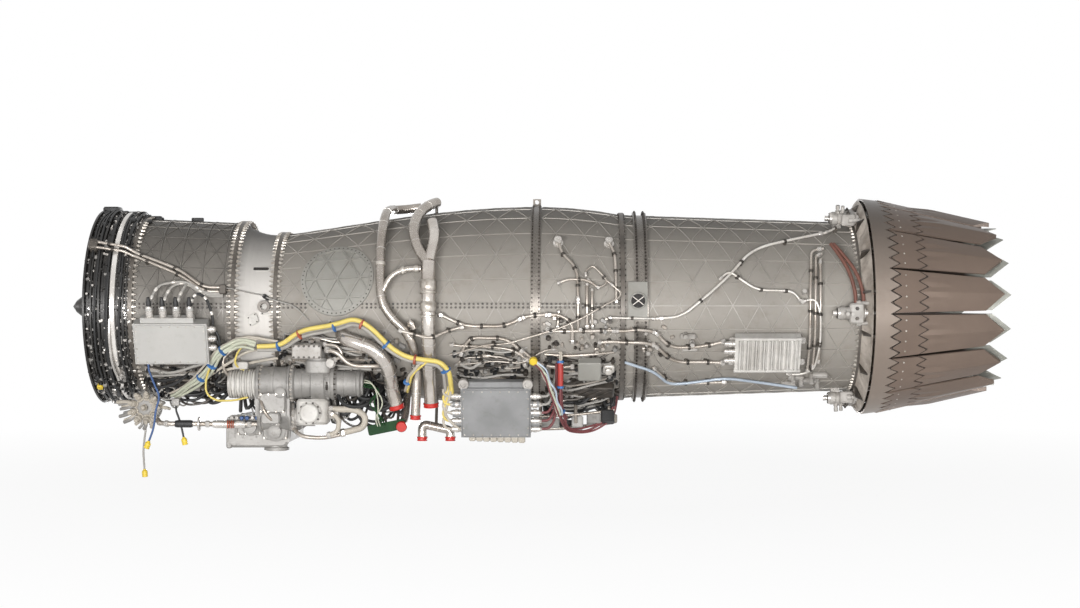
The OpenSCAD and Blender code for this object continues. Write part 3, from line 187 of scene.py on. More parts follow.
def ring_turned(profile, sides=180, start=0.0, sweep=360.0):
    """A closed profile of (station, radius) turned about the engine's axis through an angle."""
    p = np.asarray(profile, float)
    p = np.concatenate([p, p[:1]])
    if sweep >= 360:
        phi = start + np.arange(sides) * 360.0 / sides
        pts = polar(p[:, :1], phi[None, :], p[:, 1:])
        return pts.reshape(-1, 3), grid_quads(len(p), sides)[:, ::-1]
    phi = start + np.linspace(0, sweep, sides)
    mid = p[:-1].mean(0)
    rows = polar(p[None, :-1, 0], phi[:, None], p[None, :-1, 1])
    ends = [np.broadcast_to(polar(mid[0], a, mid[1]), rows[0].shape) for a in (phi[0], phi[-1])]
    rows = np.concatenate([ends[0][None], rows, ends[1][None]])
    return rows.reshape(-1, 3), grid_quads(rows.shape[0], rows.shape[1])


def block(length, width, height, bevel=4.0, corner=None, steps=3):
    """A box with rounded corners and bevelled top and bottom: a rounded rectangle, drawn in at both ends."""
    c = min(bevel if corner is None else corner, length / 2 - 0.1, width / 2 - 0.1)
    a = np.linspace(0, np.pi / 2, steps)
    corners = [(1, 1, 0), (-1, 1, 90), (-1, -1, 180), (1, -1, 270)]

    def outline(inset):
        r = max(c - inset, 0.05)
        parts = []
        for sx, sy, turn in corners:
            t = a + math.radians(turn)
            parts.append(np.stack([sx * (length / 2 - inset - r) + r * np.cos(t),
                sy * (width / 2 - inset - r) + r * np.sin(t)], -1))
        return np.concatenate(parts)

    levels = [(None, 0.0), (bevel, 0.0), (0.0, bevel), (0.0, height - bevel), (bevel, height), (None, height)]
    rows = []
    for inset, z in levels:
        flat = outline(bevel) * 0 if inset is None else outline(inset)
        rows.append(np.concatenate([flat, np.full((len(flat), 1), z)], 1))
    pts = np.concatenate(rows)
    return pts, grid_quads(len(rows), len(rows[0]))


def placed(surface, origins, axes=UPRIGHT):
    """A shape repeated: each copy's point is its origin plus x, y and z along that copy's three axes."""
    origins = np.atleast_2d(np.asarray(origins, float))
    axes = np.broadcast_to(np.asarray(axes, float), (len(origins), 3, 3))
    pts = np.einsum("vk,nkc->nvc", surface[0], axes) + origins[:, None]
    quads = surface[1][None] + (np.arange(len(origins)) * len(surface[0]))[:, None, None]
    return pts.reshape(-1, 3), quads.reshape(-1, 4)


def seated(shape, x, phi, up=-1.0, spin=0.0):
    """A shape standing on the skin at a height above it, spun in degrees about the outward direction."""
    return placed(shape, on_skin(x, phi, up), turned_axes(phi, spin))


def slab(top, bottom):
    """A closed plate between two grids of points: the outline of each row runs over the top and back below."""
    rows = np.concatenate([top, bottom[:, ::-1]], 1)
    first = np.concatenate([bottom[0], bottom[0, ::-1]])[None]
    last = np.concatenate([bottom[-1], bottom[-1, ::-1]])[None]
    rows = np.concatenate([first, rows, last])
    return rows.reshape(-1, 3), grid_quads(rows.shape[0], rows.shape[1])


def rounded(points, bend=60.0, step=12.0):
    """A line of points with each corner cut by a quadratic curve, set out again at an even step."""
    p = np.asarray(points, float)
    if len(p) > 2:
        d = np.diff(p, axis=0)
        n = np.linalg.norm(d, axis=1)
        u = d / n[:, None]
        cut = np.minimum(bend, np.minimum(n[:-1], n[1:]) * 0.48)[:, None]
        a, b, c = p[1:-1] - u[:-1] * cut, p[1:-1], p[1:-1] + u[1:] * cut
        t = np.linspace(0, 1, 9)[None, :, None]
        curve = (1 - t) ** 2 * a[:, None] + 2 * t * (1 - t) * b[:, None] + t ** 2 * c[:, None]
        p = np.concatenate([p[:1], curve.reshape(-1, p.shape[1]), p[-1:]])
    run = np.concatenate([[0], np.cumsum(np.linalg.norm(np.diff(p, axis=0), axis=1))])
    keep = np.concatenate([[True], np.diff(run) > 1e-6])
    p, run = p[keep], run[keep]
    at = np.linspace(0, run[-1], max(3, int(run[-1] / step) + 1))
    return np.stack([np.interp(at, run, p[:, k]) for k in range(p.shape[1])], -1)


def route(points, stand=None, bend=70.0, step=14.0):
    """A line laid round the cases: corners are rounded on the unrolled skin, then each point takes
    its place at the skin's radius plus its stand-off."""
    p = np.asarray(points, float)
    if p.shape[1] == 2:
        p = np.concatenate([p, np.full((len(p), 1), stand)], 1)
    flat = rounded(p * [1, math.radians(1) * MEAN_R, 1], bend, step)
    return on_skin(flat[:, 0], np.degrees(flat[:, 1] / MEAN_R), flat[:, 2])


def hung(path, aft, low, bend=80.0):
    """A line that leaves the skin at its last point and hangs straight down, with a rounded corner."""
    end = path[-1]
    tip = end * [1, 0.96, 1] + [aft, 0, -low]
    return rounded(np.concatenate([path[:-6:6], [end, tip]]), bend, 14)


def directions(path):
    """Unit directions of a line of points."""
    t = np.gradient(path, axis=0)
    return t / np.linalg.norm(t, axis=1)[:, None]


def frames(path, outward=False):
    """Direction, side and normal at each point of a line; the reference is the radius outwards,
    or the direction that the line bends least towards."""
    t = directions(path)
    if outward:
        ref = path * [0, 1, 1]
        ref = ref / np.linalg.norm(ref, axis=1)[:, None]
    else:
        ref = np.broadcast_to(np.linalg.svd(t.T @ t)[0][:, 2], t.shape)
    n = ref - (ref * t).sum(1)[:, None] * t
    n = n / np.maximum(np.linalg.norm(n, axis=1), 1e-9)[:, None]
    return t, np.cross(n, t), n


def tube(path, radius, sides=10, outward=False):
    """A circle carried along a line: point = line + r (cos a side + sin a normal), closed at both ends."""
    _, b, n = frames(path, outward)
    a = np.arange(sides) * 2 * np.pi / sides
    r = np.broadcast_to(np.asarray(radius, float), (len(path),))[:, None, None]
    rows = path[:, None] + r * (np.cos(a)[None, :, None] * b[:, None] + np.sin(a)[None, :, None] * n[:, None])
    ends = [np.broadcast_to(path[i], rows[0].shape)[None] for i in (0, -1)]
    rows = np.concatenate([ends[0], rows, ends[1]])
    return rows.reshape(-1, 3), grid_quads(rows.shape[0], rows.shape[1])


def section(path, start, end):
    """The stretch of a line between two shares of its length."""
    n = len(path) - 1
    at = np.linspace(start * n, end * n, max(3, int((end - start) * n) + 1))
    i = np.arange(n + 1)
    return np.stack([np.interp(at, i, path[:, k]) for k in range(3)], -1)


def collars(path, shares, radius, length, outward=False, sides=12):
    """Bands round a tube: at each share of its length a short bevelled sleeve follows the line."""
    run = np.linalg.norm(np.diff(path, axis=0), axis=1).sum()
    out = []
    for s in shares:
        h = length / run / 2
        lo, hi = max(0.0, s - h), min(1.0, s + h)
        line = rounded(section(path, lo, hi), 1, max(length / 5, 0.5))
        r = np.full(len(line), float(radius))
        r[0] = r[-1] = radius * 0.86
        out.append(tube(line, r, sides, outward))
    return join(*out)


def tubes(paths, *args):
    """Tubes of one size along several lines."""
    return join(*[tube(p, *args) for p in paths])


def stand(path, share):
    """Station, angle and height above the skin of the point at a share of a line."""
    x, y, z = path[int(share * (len(path) - 1))]
    return x, math.degrees(math.atan2(z, -y)), math.hypot(y, z) - float(skin(x))


def feet(path, shares, radius):
    """Small blocks that stand on the skin and reach up into a line at shares of its length."""
    spots = [stand(path, s) for s in shares]
    return [seated(block(22, 16, max(6.0, h - radius * 0.6), 2, 4, 2), x, phi) for x, phi, h in spots]


def strands(path, offsets, radius, wander=0.0, seed=1, sides=8, outward=True):
    """Several cables beside one another: each keeps its own side and height offset from the shared
    line, and wanders a little along it."""
    _, b, n = frames(path, outward)
    rng = np.random.default_rng(seed)
    s = np.linspace(0, 1, len(path))[:, None]
    out = []
    for k, (side, up) in enumerate(offsets):
        f = rng.uniform(1.2, 3.2, 2)
        ph = rng.uniform(0, 6.28, 2)
        ds = side + wander * np.sin(6.28 * f[0] * s + ph[0])
        du = up + wander * 0.5 * np.sin(6.28 * f[1] * s + ph[1])
        r = radius[k] if isinstance(radius, (list, tuple)) else radius
        out.append(tube(path + ds * b + du * n, r, sides, outward))
    return out


def piece(name, surface, tone, body="engine", slot=None, smooth=38.0):
    """A mesh object of a surface in millimetres, welded at its seams and poles, riding on a body. A
    list of surfaces is joined; the slot, the finish's own unless another is given, is worked out but not used."""
    slot = slot or next(k for k, tones in SLOT_TONES.items() if tone in tones.split())
    pts, quads = join(*surface) if isinstance(surface, list) else surface
    mesh = bpy.data.meshes.new(name)
    mesh.vertices.add(len(pts))
    mesh.vertices.foreach_set("co", (pts * MM).astype(np.float32).ravel())
    mesh.loops.add(quads.size)
    mesh.loops.foreach_set("vertex_index", quads.astype(np.int32).ravel())
    mesh.polygons.add(len(quads))
    mesh.polygons.foreach_set("loop_start", np.arange(len(quads), dtype=np.int32) * 4)
    mesh.update(calc_edges=True)
    bm = bmesh.new()
    bm.from_mesh(mesh)
    bmesh.ops.remove_doubles(bm, verts=bm.verts, dist=WELD)
    bmesh.ops.recalc_face_normals(bm, faces=bm.faces)
    bm.to_mesh(mesh)
    bm.free()
    mesh.polygons.foreach_set("use_smooth", np.ones(len(mesh.polygons), bool))
    mesh.set_sharp_from_angle(angle=math.radians(smooth))
    mesh.materials.append(MATS[tone])
    obj = bpy.data.objects.new(name, mesh)
    bpy.context.scene.collection.objects.link(obj)
    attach(obj, body)
    return obj


# Small shapes that are repeated many times
def nut(radius, height):
    """A six-sided nut with a short stud through it, along z."""
    return join(lathe([(radius, 0), (radius, height * 0.8), (radius * 0.84, height)], 6),
        lathe([(radius * 0.5, height * 0.9), (radius * 0.5, height * 1.6)], 6))


def dome(radius, height, sides=8):
    """A low rounded rivet head along z."""
    a = np.linspace(0, np.pi / 2, 4)
    ring = np.stack([radius * np.cos(a), height * np.sin(a)], -1)
    return turned(np.concatenate([[[0, -1.5], [radius, -1.5]], ring]), sides)


def plug(radius, length, sides=16):
    """A round cable connector along z: flange, knurled ring, barrel and backshell."""
    r, n = radius, length
    return lathe([(1.3 * r, 0), (1.3 * r, .08 * n), (r, .1 * n), (r, .25 * n), (1.15 * r, .28 * n),
        (1.15 * r, .55 * n), (.95 * r, .58 * n), (.95 * r, .75 * n), (.7 * r, .95 * n), (.55 * r, n)], sides)


def union(radius, length):
    """A pipe union along z: two hexagons and a collar between them."""
    r, n = radius, length
    return join(lathe([(r, 0), (r, .35 * n)], 6), lathe([(.75 * r, .3 * n), (.75 * r, .6 * n)], 10),
        lathe([(.9 * r, .55 * n), (.9 * r, n)], 6))


def rgb(r, g, b):
    """Linear colour of a display colour given in steps of 255."""
    c = np.array([r, g, b]) / 255.0
    return tuple(float(v) for v in np.where(c <= 0.04045, c / 12.92, ((c + 0.055) / 1.055) ** 2.4))


def shade(colour, factor):
    """A colour made darker or lighter by a factor."""
    return tuple(min(1.0, c * factor) for c in colour[:3])


def add_node(tree, kind, **inputs):
    node = tree.nodes.new(kind)
    for key, value in inputs.items():
        node.inputs[key].default_value = value
    return node


def set_range(tree, source, low, high, out_low, out_high):
    """The source's range low to high carried to another range."""
    node = add_node(tree, "ShaderNodeMapRange")
    for i, v in enumerate((low, high, out_low, out_high)):
        node.inputs[i + 1].default_value = v
    tree.links.new(source, node.inputs[0])
    return node.outputs[0]


def blend_colour(tree, factor, first, second):
    """Two colours mixed by a factor; a colour may be a value or an output."""
    node = tree.nodes.new("ShaderNodeMix")
    node.data_type = "RGBA"
    tree.links.new(factor, node.inputs[0])
    for socket, value in ((node.inputs[6], first), (node.inputs[7], second)):
        if isinstance(value, tuple):
            socket.default_value = (*value[:3], 1)
        else:
            tree.links.new(value, socket)
    return node.outputs[2]


def noise(tree, coords, scale, detail=3.0, rough=0.5):
    node = add_node(tree, "ShaderNodeTexNoise", Scale=scale, Detail=detail, Roughness=rough)
    tree.links.new(coords, node.inputs["Vector"])
    return node.outputs[0]


def mapped(tree, coords, **inputs):
    """Coordinates moved, turned or stretched."""
    node = add_node(tree, "ShaderNodeMapping", **inputs)
    tree.links.new(coords, node.inputs["Vector"])
    return node.outputs[0]


def operation(tree, kind, first, second):
    """A sum, product or comparison of two outputs."""
    node = tree.nodes.new("ShaderNodeMath")
    node.operation = kind
    tree.links.new(first, node.inputs[0])
    tree.links.new(second, node.inputs[1])
    return node.outputs[0]


def length_of(tree, vector):
    """The length of a vector output."""
    node = tree.nodes.new("ShaderNodeVectorMath")
    node.operation = "LENGTH"
    tree.links.new(vector, node.inputs[0])
    return node.outputs["Value"]


def mix_shaders(tree, factor, first, second):
    """Two shaders mixed by a factor."""
    node = tree.nodes.new("ShaderNodeMixShader")
    for socket, source in zip(node.inputs, (factor, first, second)):
        tree.links.new(source, socket)
    return node.outputs[0]


def new_material(name):
    """A node material, its tree, its shader and its Object coordinates."""
    mat = bpy.data.materials.new(name)
    mat.use_nodes = True
    tree = mat.node_tree
    return mat, tree, tree.nodes["Principled BSDF"], tree.nodes.new("ShaderNodeTexCoord").outputs["Object"]


def emboss(tree, shader, source, strength, distance):
    """Bump from an output."""
    relief = add_node(tree, "ShaderNodeBump", Strength=strength, Distance=distance)
    tree.links.new(source, relief.inputs["Height"])
    tree.links.new(relief.outputs[0], shader.inputs["Normal"])


def finish(name, colour, second, broad=3.0, fine=120.0, rough=(0.4, 0.6), metal=0.0, bump=0.12, stretch=(1, 1, 1),
           grime=None, grime_share=0.5, gloss=0.5, upper=1.0):
    """A finish on Object coordinates: two tones from a broad noise, grime from a ragged one, roughness
    and bump from a finer one, which may be drawn out along one axis. The upper side is darkened to a
    share of the colour by height: a painted shade of the top."""
    mat, tree, shader, coords = new_material(name)
    tone = set_range(tree, noise(tree, coords, broad, 4), 0.35, 0.65, 0, 1)
    out = blend_colour(tree, tone, tuple(colour), tuple(second))
    if grime:
        dirt = set_range(tree, noise(tree, coords, broad * 4.3, 9, 0.7), 0.52, 0.72, 0, grime_share)
        out = blend_colour(tree, dirt, out, tuple(grime))
    # Painted shade: the colour darkens towards the top of the object, by height alone
    if upper < 1:
        height = tree.nodes.new("ShaderNodeSeparateXYZ")
        tree.links.new(coords, height.inputs[0])
        painted_top_shade = set_range(tree, height.outputs["Z"], 0.12, 0.52, 0, 1)
        out = blend_colour(tree, painted_top_shade, out, shade(colour, upper))
    tree.links.new(out, shader.inputs["Base Color"])
    grain = noise(tree, mapped(tree, coords, Scale=stretch), fine, 5, 0.6)
    tree.links.new(set_range(tree, grain, 0.3, 0.7, *rough), shader.inputs["Roughness"])
    shader.inputs["Metallic"].default_value = metal
    shader.inputs["Specular IOR Level"].default_value = gloss
    emboss(tree, shader, grain, bump, 0.002)
    mat.diffuse_color = (*colour[:3], 1)
    return mat


def banded(name, colour, second, pitch=90.0, rough=(0.5, 0.65), bump=0.5):
    """A braided sleeve: two crossed wave patterns on Object coordinates give the weave's tone and relief."""
    mat, tree, shader, coords = new_material(name)
    waves = []
    for turn in (0.6, -0.6):
        wave = add_node(tree, "ShaderNodeTexWave", Scale=pitch, Distortion=0.4)
        tree.links.new(mapped(tree, coords, Rotation=(0.3, turn, turn)), wave.inputs["Vector"])
        waves.append(wave.outputs["Fac"])
    weave = operation(tree, "MULTIPLY", *waves)
    tone = blend_colour(tree, weave, tuple(second), tuple(colour))
    wear_and_painted_shade = set_range(tree, noise(tree, coords, 14, 4), 0.5, 0.75, 0, 0.45)
    tree.links.new(blend_colour(tree, wear_and_painted_shade, tone, shade(second, 0.7)), shader.inputs["Base Color"])
    tree.links.new(set_range(tree, weave, 0, 1, *rough), shader.inputs["Roughness"])
    emboss(tree, shader, weave, bump, 0.001)
    mat.diffuse_color = (*colour[:3], 1)
    return mat


def colour_prop(label, words, value):
    return FloatVectorProperty(name=label, description=words, default=value, size=3, min=0, max=1, subtype="COLOR")


def length_prop(label, words, value, low, high):
    return FloatProperty(name=label, description=words, default=value, min=low, max=high, unit="LENGTH")


class EngineColours(bpy.types.PropertyGroup):
    """Colours of the engine's main finishes"""
    skin: colour_prop("Duct skin", "Warm grey of the bypass and augmentor ducts", rgb(149, 144, 137))
    waist: colour_prop("Waist", "Pale grey of the intermediate case", rgb(204, 200, 195))
    inlet: colour_prop("Inlet", "Near black of the inlet case", rgb(44, 42, 40))
    steel: colour_prop("Bright steel", "Polished pipes, unions and studs", rgb(206, 201, 195))
    casting: colour_prop("Casting", "Grey of the gearbox castings", rgb(150, 147, 143))
    petal: colour_prop("Petals", "Brown of the nozzle petals and cowl", rgb(124, 108, 97))
    inner: colour_prop("Inner tips", "Grey green of the inner flaps", rgb(156, 156, 148))
    box: colour_prop("Control boxes", "Grey paint of the control boxes", rgb(176, 174, 170))
    cap: colour_prop("Duct caps", "Red of the blanking caps", rgb(196, 44, 36))
    lead_cap: colour_prop("Lead caps", "Yellow of the caps on the free leads", rgb(226, 196, 60))
    yellow: colour_prop("Yellow cable", "Sleeve of the main harness", rgb(226, 204, 112))
    grey: colour_prop("Grey cable", "Sleeve beside the main harness", rgb(170, 166, 160))
    green: colour_prop("Pale green cable", "Sleeves on the near side of the fan case", rgb(198, 200, 180))
    blue: colour_prop("Blue lead", "Sleeve of the blue hanging lead", rgb(62, 92, 142))


class EngineSizes(bpy.types.PropertyGroup):
    """Sizes of the repeated details"""
    rib_width: length_prop("Rib width", "Width of a grid rib on the ducts", 0.0058, 0.003, 0.02)
    rib_height: length_prop("Rib height", "Height of a grid rib above the skin", 0.0045, 0.001, 0.01)
    rib_rows: IntProperty(name="Rib rows", description="Rows of grid ribs round a duct", default=24, min=8, max=48)
    stud_radius: length_prop("Stud radius", "Corner radius of a flange nut", 0.0075, 0.003, 0.015)
    lead_diameter: length_prop("Lead diameter", "Diameter of a free lead", 0.012, 0.006, 0.02)
    camera_distance: length_prop("Camera distance", "From the camera to the engine's axis", 11.4, 6, 30)


def make_finishes(c):
    """The engine's finishes, one for each material seen on it."""
    soot = rgb(70, 62, 55)
    rust = rgb(104, 90, 78)
    m = MATS
    even = (1, 1, 1)
    # Skin: the last number darkens the upper side, a painted shade of the top
    m["skin"] = finish("duct_skin", c.skin, shade(c.skin, 0.88), 2.2, 260, (0.42, 0.56), 0.05, 0.05, even, rust, 0.3,
        0.12, 0.7)
    # Duct ribs are the skin's own metal: their lighter tone is a painted highlight along the ribs
    m["rib"] = finish("duct_rib", shade(c.skin, 1.14), shade(c.skin, 0.82), 5, 200, (0.34, 0.48), 0.1, 0.05)
    # Fan case: the last number darkens the upper side, a painted shade of the top
    m["fan"] = finish("fan_case_skin", shade(c.skin, 0.7), shade(c.skin, 0.54), 3, 220, (0.4, 0.55), 0.06, 0.06, even,
        soot, 0.35, 0.2, 0.55)
    # Fan case ribs and hoops are the case's own metal: their darker tone is painted shade along the ribs
    m["fan_rib"] = finish("fan_case_rib", shade(c.skin, 0.56), shade(c.skin, 0.4), 5, 200, (0.3, 0.45), 0.3, 0.05)
    # Waist: the last number darkens the upper side, a painted shade of the top
    m["waist"] = finish("waist_skin", c.waist, shade(c.waist, 0.9), 3, 240, (0.44, 0.56), 0.0, 0.04, even, rust, 0.16,
        0.12, 0.3)
    m["flange"] = finish("flange_metal", rgb(104, 98, 91), rgb(74, 69, 64), 8, 160, (0.32, 0.5), 0.4, 0.1, even, soot,
        0.5)
    # Band: upper darkens the upper side, a painted shade of the top
    m["band"] = finish("band_metal", rgb(136, 130, 123), rgb(88, 83, 77), 7, 160, (0.22, 0.4), 0.6, 0.08, even, soot,
        0.5, upper=0.55)
    m["inlet"] = finish("inlet_dark", c.inlet, shade(c.inlet, 0.5), 6, 140, (0.3, 0.5), 0.25, 0.12, even,
        rgb(96, 90, 83), 0.2)
    m["steel"] = finish("bright_steel", c.steel, shade(c.steel, 0.7), 9, 240, (0.2, 0.34), 0.6, 0.05, even, rust, 0.4)
    m["pipe"] = finish("pipe_steel", rgb(182, 174, 165), rgb(146, 137, 127), 6, 200, (0.22, 0.38), 0.5, 0.04, even,
        rgb(100, 86, 74), 0.5)
    m["duct"] = finish("bleed_duct_steel", rgb(180, 173, 165), rgb(150, 142, 134), 4, 150, (0.18, 0.3), 0.75, 0.03,
        even, rgb(104, 92, 82), 0.3)
    m["nut"] = finish("dark_nut", rgb(74, 68, 62), rgb(46, 42, 38), 20, 200, (0.34, 0.5), 0.4, 0.1)
    m["bolt"] = finish("pale_nut", rgb(196, 190, 182), rgb(140, 132, 122), 30, 200, (0.28, 0.42), 0.5, 0.1)
    m["casting"] = finish("grey_casting", c.casting, shade(c.casting, 0.72), 7, 300, (0.42, 0.62), 0.2, 0.35, even,
        soot, 0.5)
    m["alloy"] = finish("bright_casting", rgb(184, 180, 175), rgb(146, 141, 135), 8, 260, (0.42, 0.6), 0.1, 0.2, even,
        soot, 0.4)
    m["pale_alloy"] = finish("pale_casting", rgb(208, 205, 200), rgb(180, 176, 170), 8, 260, (0.5, 0.65), 0.0, 0.15,
        even, soot, 0.3, 0.2)
    # Petals: the last number darkens the upper side, a painted shade of the top
    m["petal"] = finish("petal_brown", c.petal, shade(c.petal, 0.86), 2.6, 70, (0.34, 0.46), 0.3, 0.06,
        (0.25, 2.2, 2.2), shade(c.petal, 0.66), 0.3, 0.3, 0.65)
    m["hot"] = finish("hot_liner", rgb(150, 140, 128), rgb(104, 92, 80), 3, 90, (0.5, 0.7), 0.3, 0.2, (0.4, 1, 1),
        rgb(60, 52, 46), 0.6)
    m["box"] = finish("box_paint", c.box, shade(c.box, 0.93), 5, 400, (0.42, 0.55), 0.0, 0.1, even,
        rgb(132, 126, 118), 0.2)
    m["rear_box"] = finish("rear_box_paint", rgb(138, 138, 138), rgb(120, 120, 120), 5, 400, (0.4, 0.55), 0.0, 0.1,
        even, rgb(90, 86, 80), 0.3)
    m["red"] = finish("cap_red", c.cap, shade(c.cap, 0.8), 12, 160, (0.35, 0.5), 0.0, 0.1, even, rgb(120, 24, 20),
        0.4)
    m["yellow_cap"] = finish("cap_yellow", c.lead_cap, shade(c.lead_cap, 0.85), 20, 200, (0.4, 0.55), 0.0, 0.1)
    m["black"] = finish("black_rubber", rgb(34, 33, 33), rgb(20, 20, 20), 20, 260, (0.45, 0.65), 0.0, 0.2)
    for key, colour, share in (("yellow", c.yellow, 0.86), ("grey", c.grey, 0.75), ("green", c.green, 0.76),
            ("blue", c.blue, 0.7)):
        m[key] = banded(key + "_sleeve", colour, shade(colour, share))
    m["black_sleeve"] = banded("black_sleeve", rgb(50, 49, 49), rgb(26, 26, 26))
    m["red_wrap"] = banded("red_wrap", rgb(196, 62, 52), rgb(150, 46, 40))
    m["maroon"] = banded("maroon_sleeve", rgb(132, 66, 66), rgb(100, 50, 52))
    m["hose"] = banded("pale_hose", rgb(204, 197, 184), rgb(168, 160, 148), 120)
    m["brown_hose"] = banded("brown_hose", rgb(132, 84, 70), rgb(98, 62, 52), 120)
    m["tie"] = finish("blue_tie", rgb(60, 112, 172), rgb(44, 88, 140), 30, 200, (0.4, 0.5), 0.0, 0.1)
    m["red_tie"] = finish("red_tie", rgb(178, 92, 66), rgb(148, 74, 54), 30, 200, (0.4, 0.5), 0.0, 0.1)
    m["green_plate"] = finish("green_plate", rgb(26, 62, 30), rgb(18, 46, 22), 12, 200, (0.5, 0.65), 0.0, 0.1,
        gloss=0.15)
    m["foil"] = finish("heat_shield_foil", rgb(190, 181, 171), rgb(146, 136, 126), 9, 60, (0.5, 0.7), 0.1, 0.5, even,
        rgb(90, 80, 72), 0.6)
    m["white_tube"] = finish("pale_tube", rgb(216, 212, 206), rgb(190, 184, 176), 8, 200, (0.24, 0.36), 0.3, 0.05)
    m["blue_tube"] = finish("blue_tube", rgb(178, 188, 199), rgb(150, 161, 173), 8, 200, (0.3, 0.4), 0.2, 0.05)
    # Near black painted shade, laid in the waist slot, the vent's hole and along the petals' saw edges
    m["gap"] = finish("painted_shade_dark", rgb(30, 25, 22), rgb(20, 17, 16), 10, 100, (0.6, 0.8), 0.0, 0.1)
    m["brown_gap"] = finish("plate_shadow", rgb(62, 50, 43), rgb(46, 37, 32), 10, 100, (0.6, 0.8), 0.0, 0.1)
    m["bright_duct"] = finish("polished_duct", rgb(204, 198, 191), rgb(176, 168, 160), 5, 150, (0.15, 0.26), 0.75,
        0.03, even, rgb(126, 113, 102), 0.25)
    m["polished"] = finish("polished_ring", rgb(236, 232, 227), rgb(206, 201, 195), 5, 200, (0.12, 0.24), 0.6, 0.03)
    # Cowl: the last number darkens the upper side, a painted shade of the top
    m["cowl"] = finish("cowl_brown", rgb(146, 134, 124), rgb(132, 119, 109), 1.6, 70, (0.3, 0.4), 0.3, 0.05,
        (0.25, 2.2, 2.2), shade(c.petal, 0.8), 0.2, 0.3, 0.4)
    m["panel"] = finish("panel_skin", rgb(150, 148, 142), rgb(136, 134, 128), 3, 240, (0.4, 0.52), 0.05, 0.05, even,
        rust, 0.2, 0.2)


NODE_FINISH = {
    "inlet": "inlet_case nose_cone vane_ring",
    "fan": "fan_case",
    "waist": "intermediate_case",
    "skin": "front_duct rear_duct augmentor_duct",
    "panel": "access_panel vent_plate",
    "flange": "engine_mounts shaft_bearings core_case",
    "band": "mount_ring clamp_band",
    "hot": "augmentor_liner combustor_liner exhaust_case low_turbine high_turbine throat_flaps",
    "steel": "fan_rotor fan_stators low_shaft high_compressor nozzle_actuators sync_ring",
    "nut": "hinge_ring",
    "cowl": "nozzle_cowl",
    "casting": "gearbox starter_generator",
    "alloy": "oil_pump cooling_motor",
    "pale_alloy": "ignition_box",
    "box": "front_control_box",
    "rear_box": "rear_control_box",
    "red": "duct_caps",
    "pipe": "fluid_tubes aft_tubes",
    "duct": "bleed_ducts",
    "yellow": "cable_harness",
    "grey": "lead_grey",
    "blue": "lead_blue",
    "black": "lead_black",
    "yellow_cap": "lead_caps",
}

# Slot of a piece in each finish, where it names no other
SLOT_TONES = {
    "tan_metal": "fan_rib panel",
    "bright_metal": "bolt polished steel pipe white_tube pale_alloy red_tie alloy blue_tube",
    "dark_metal": "nut inlet black gap brown_gap",
    "grey_metal": "flange casting duct",
    "cap_yellow": "yellow_cap",
    "box_paint": "box waist rear_box",
    "harness": "grey black_sleeve yellow hose green tie green_plate brown_hose red_wrap maroon",
    "cap_red": "red",
    "lead_blue": "blue",
    "liner_metal": "foil",
    "petal_metal": "petal",
}


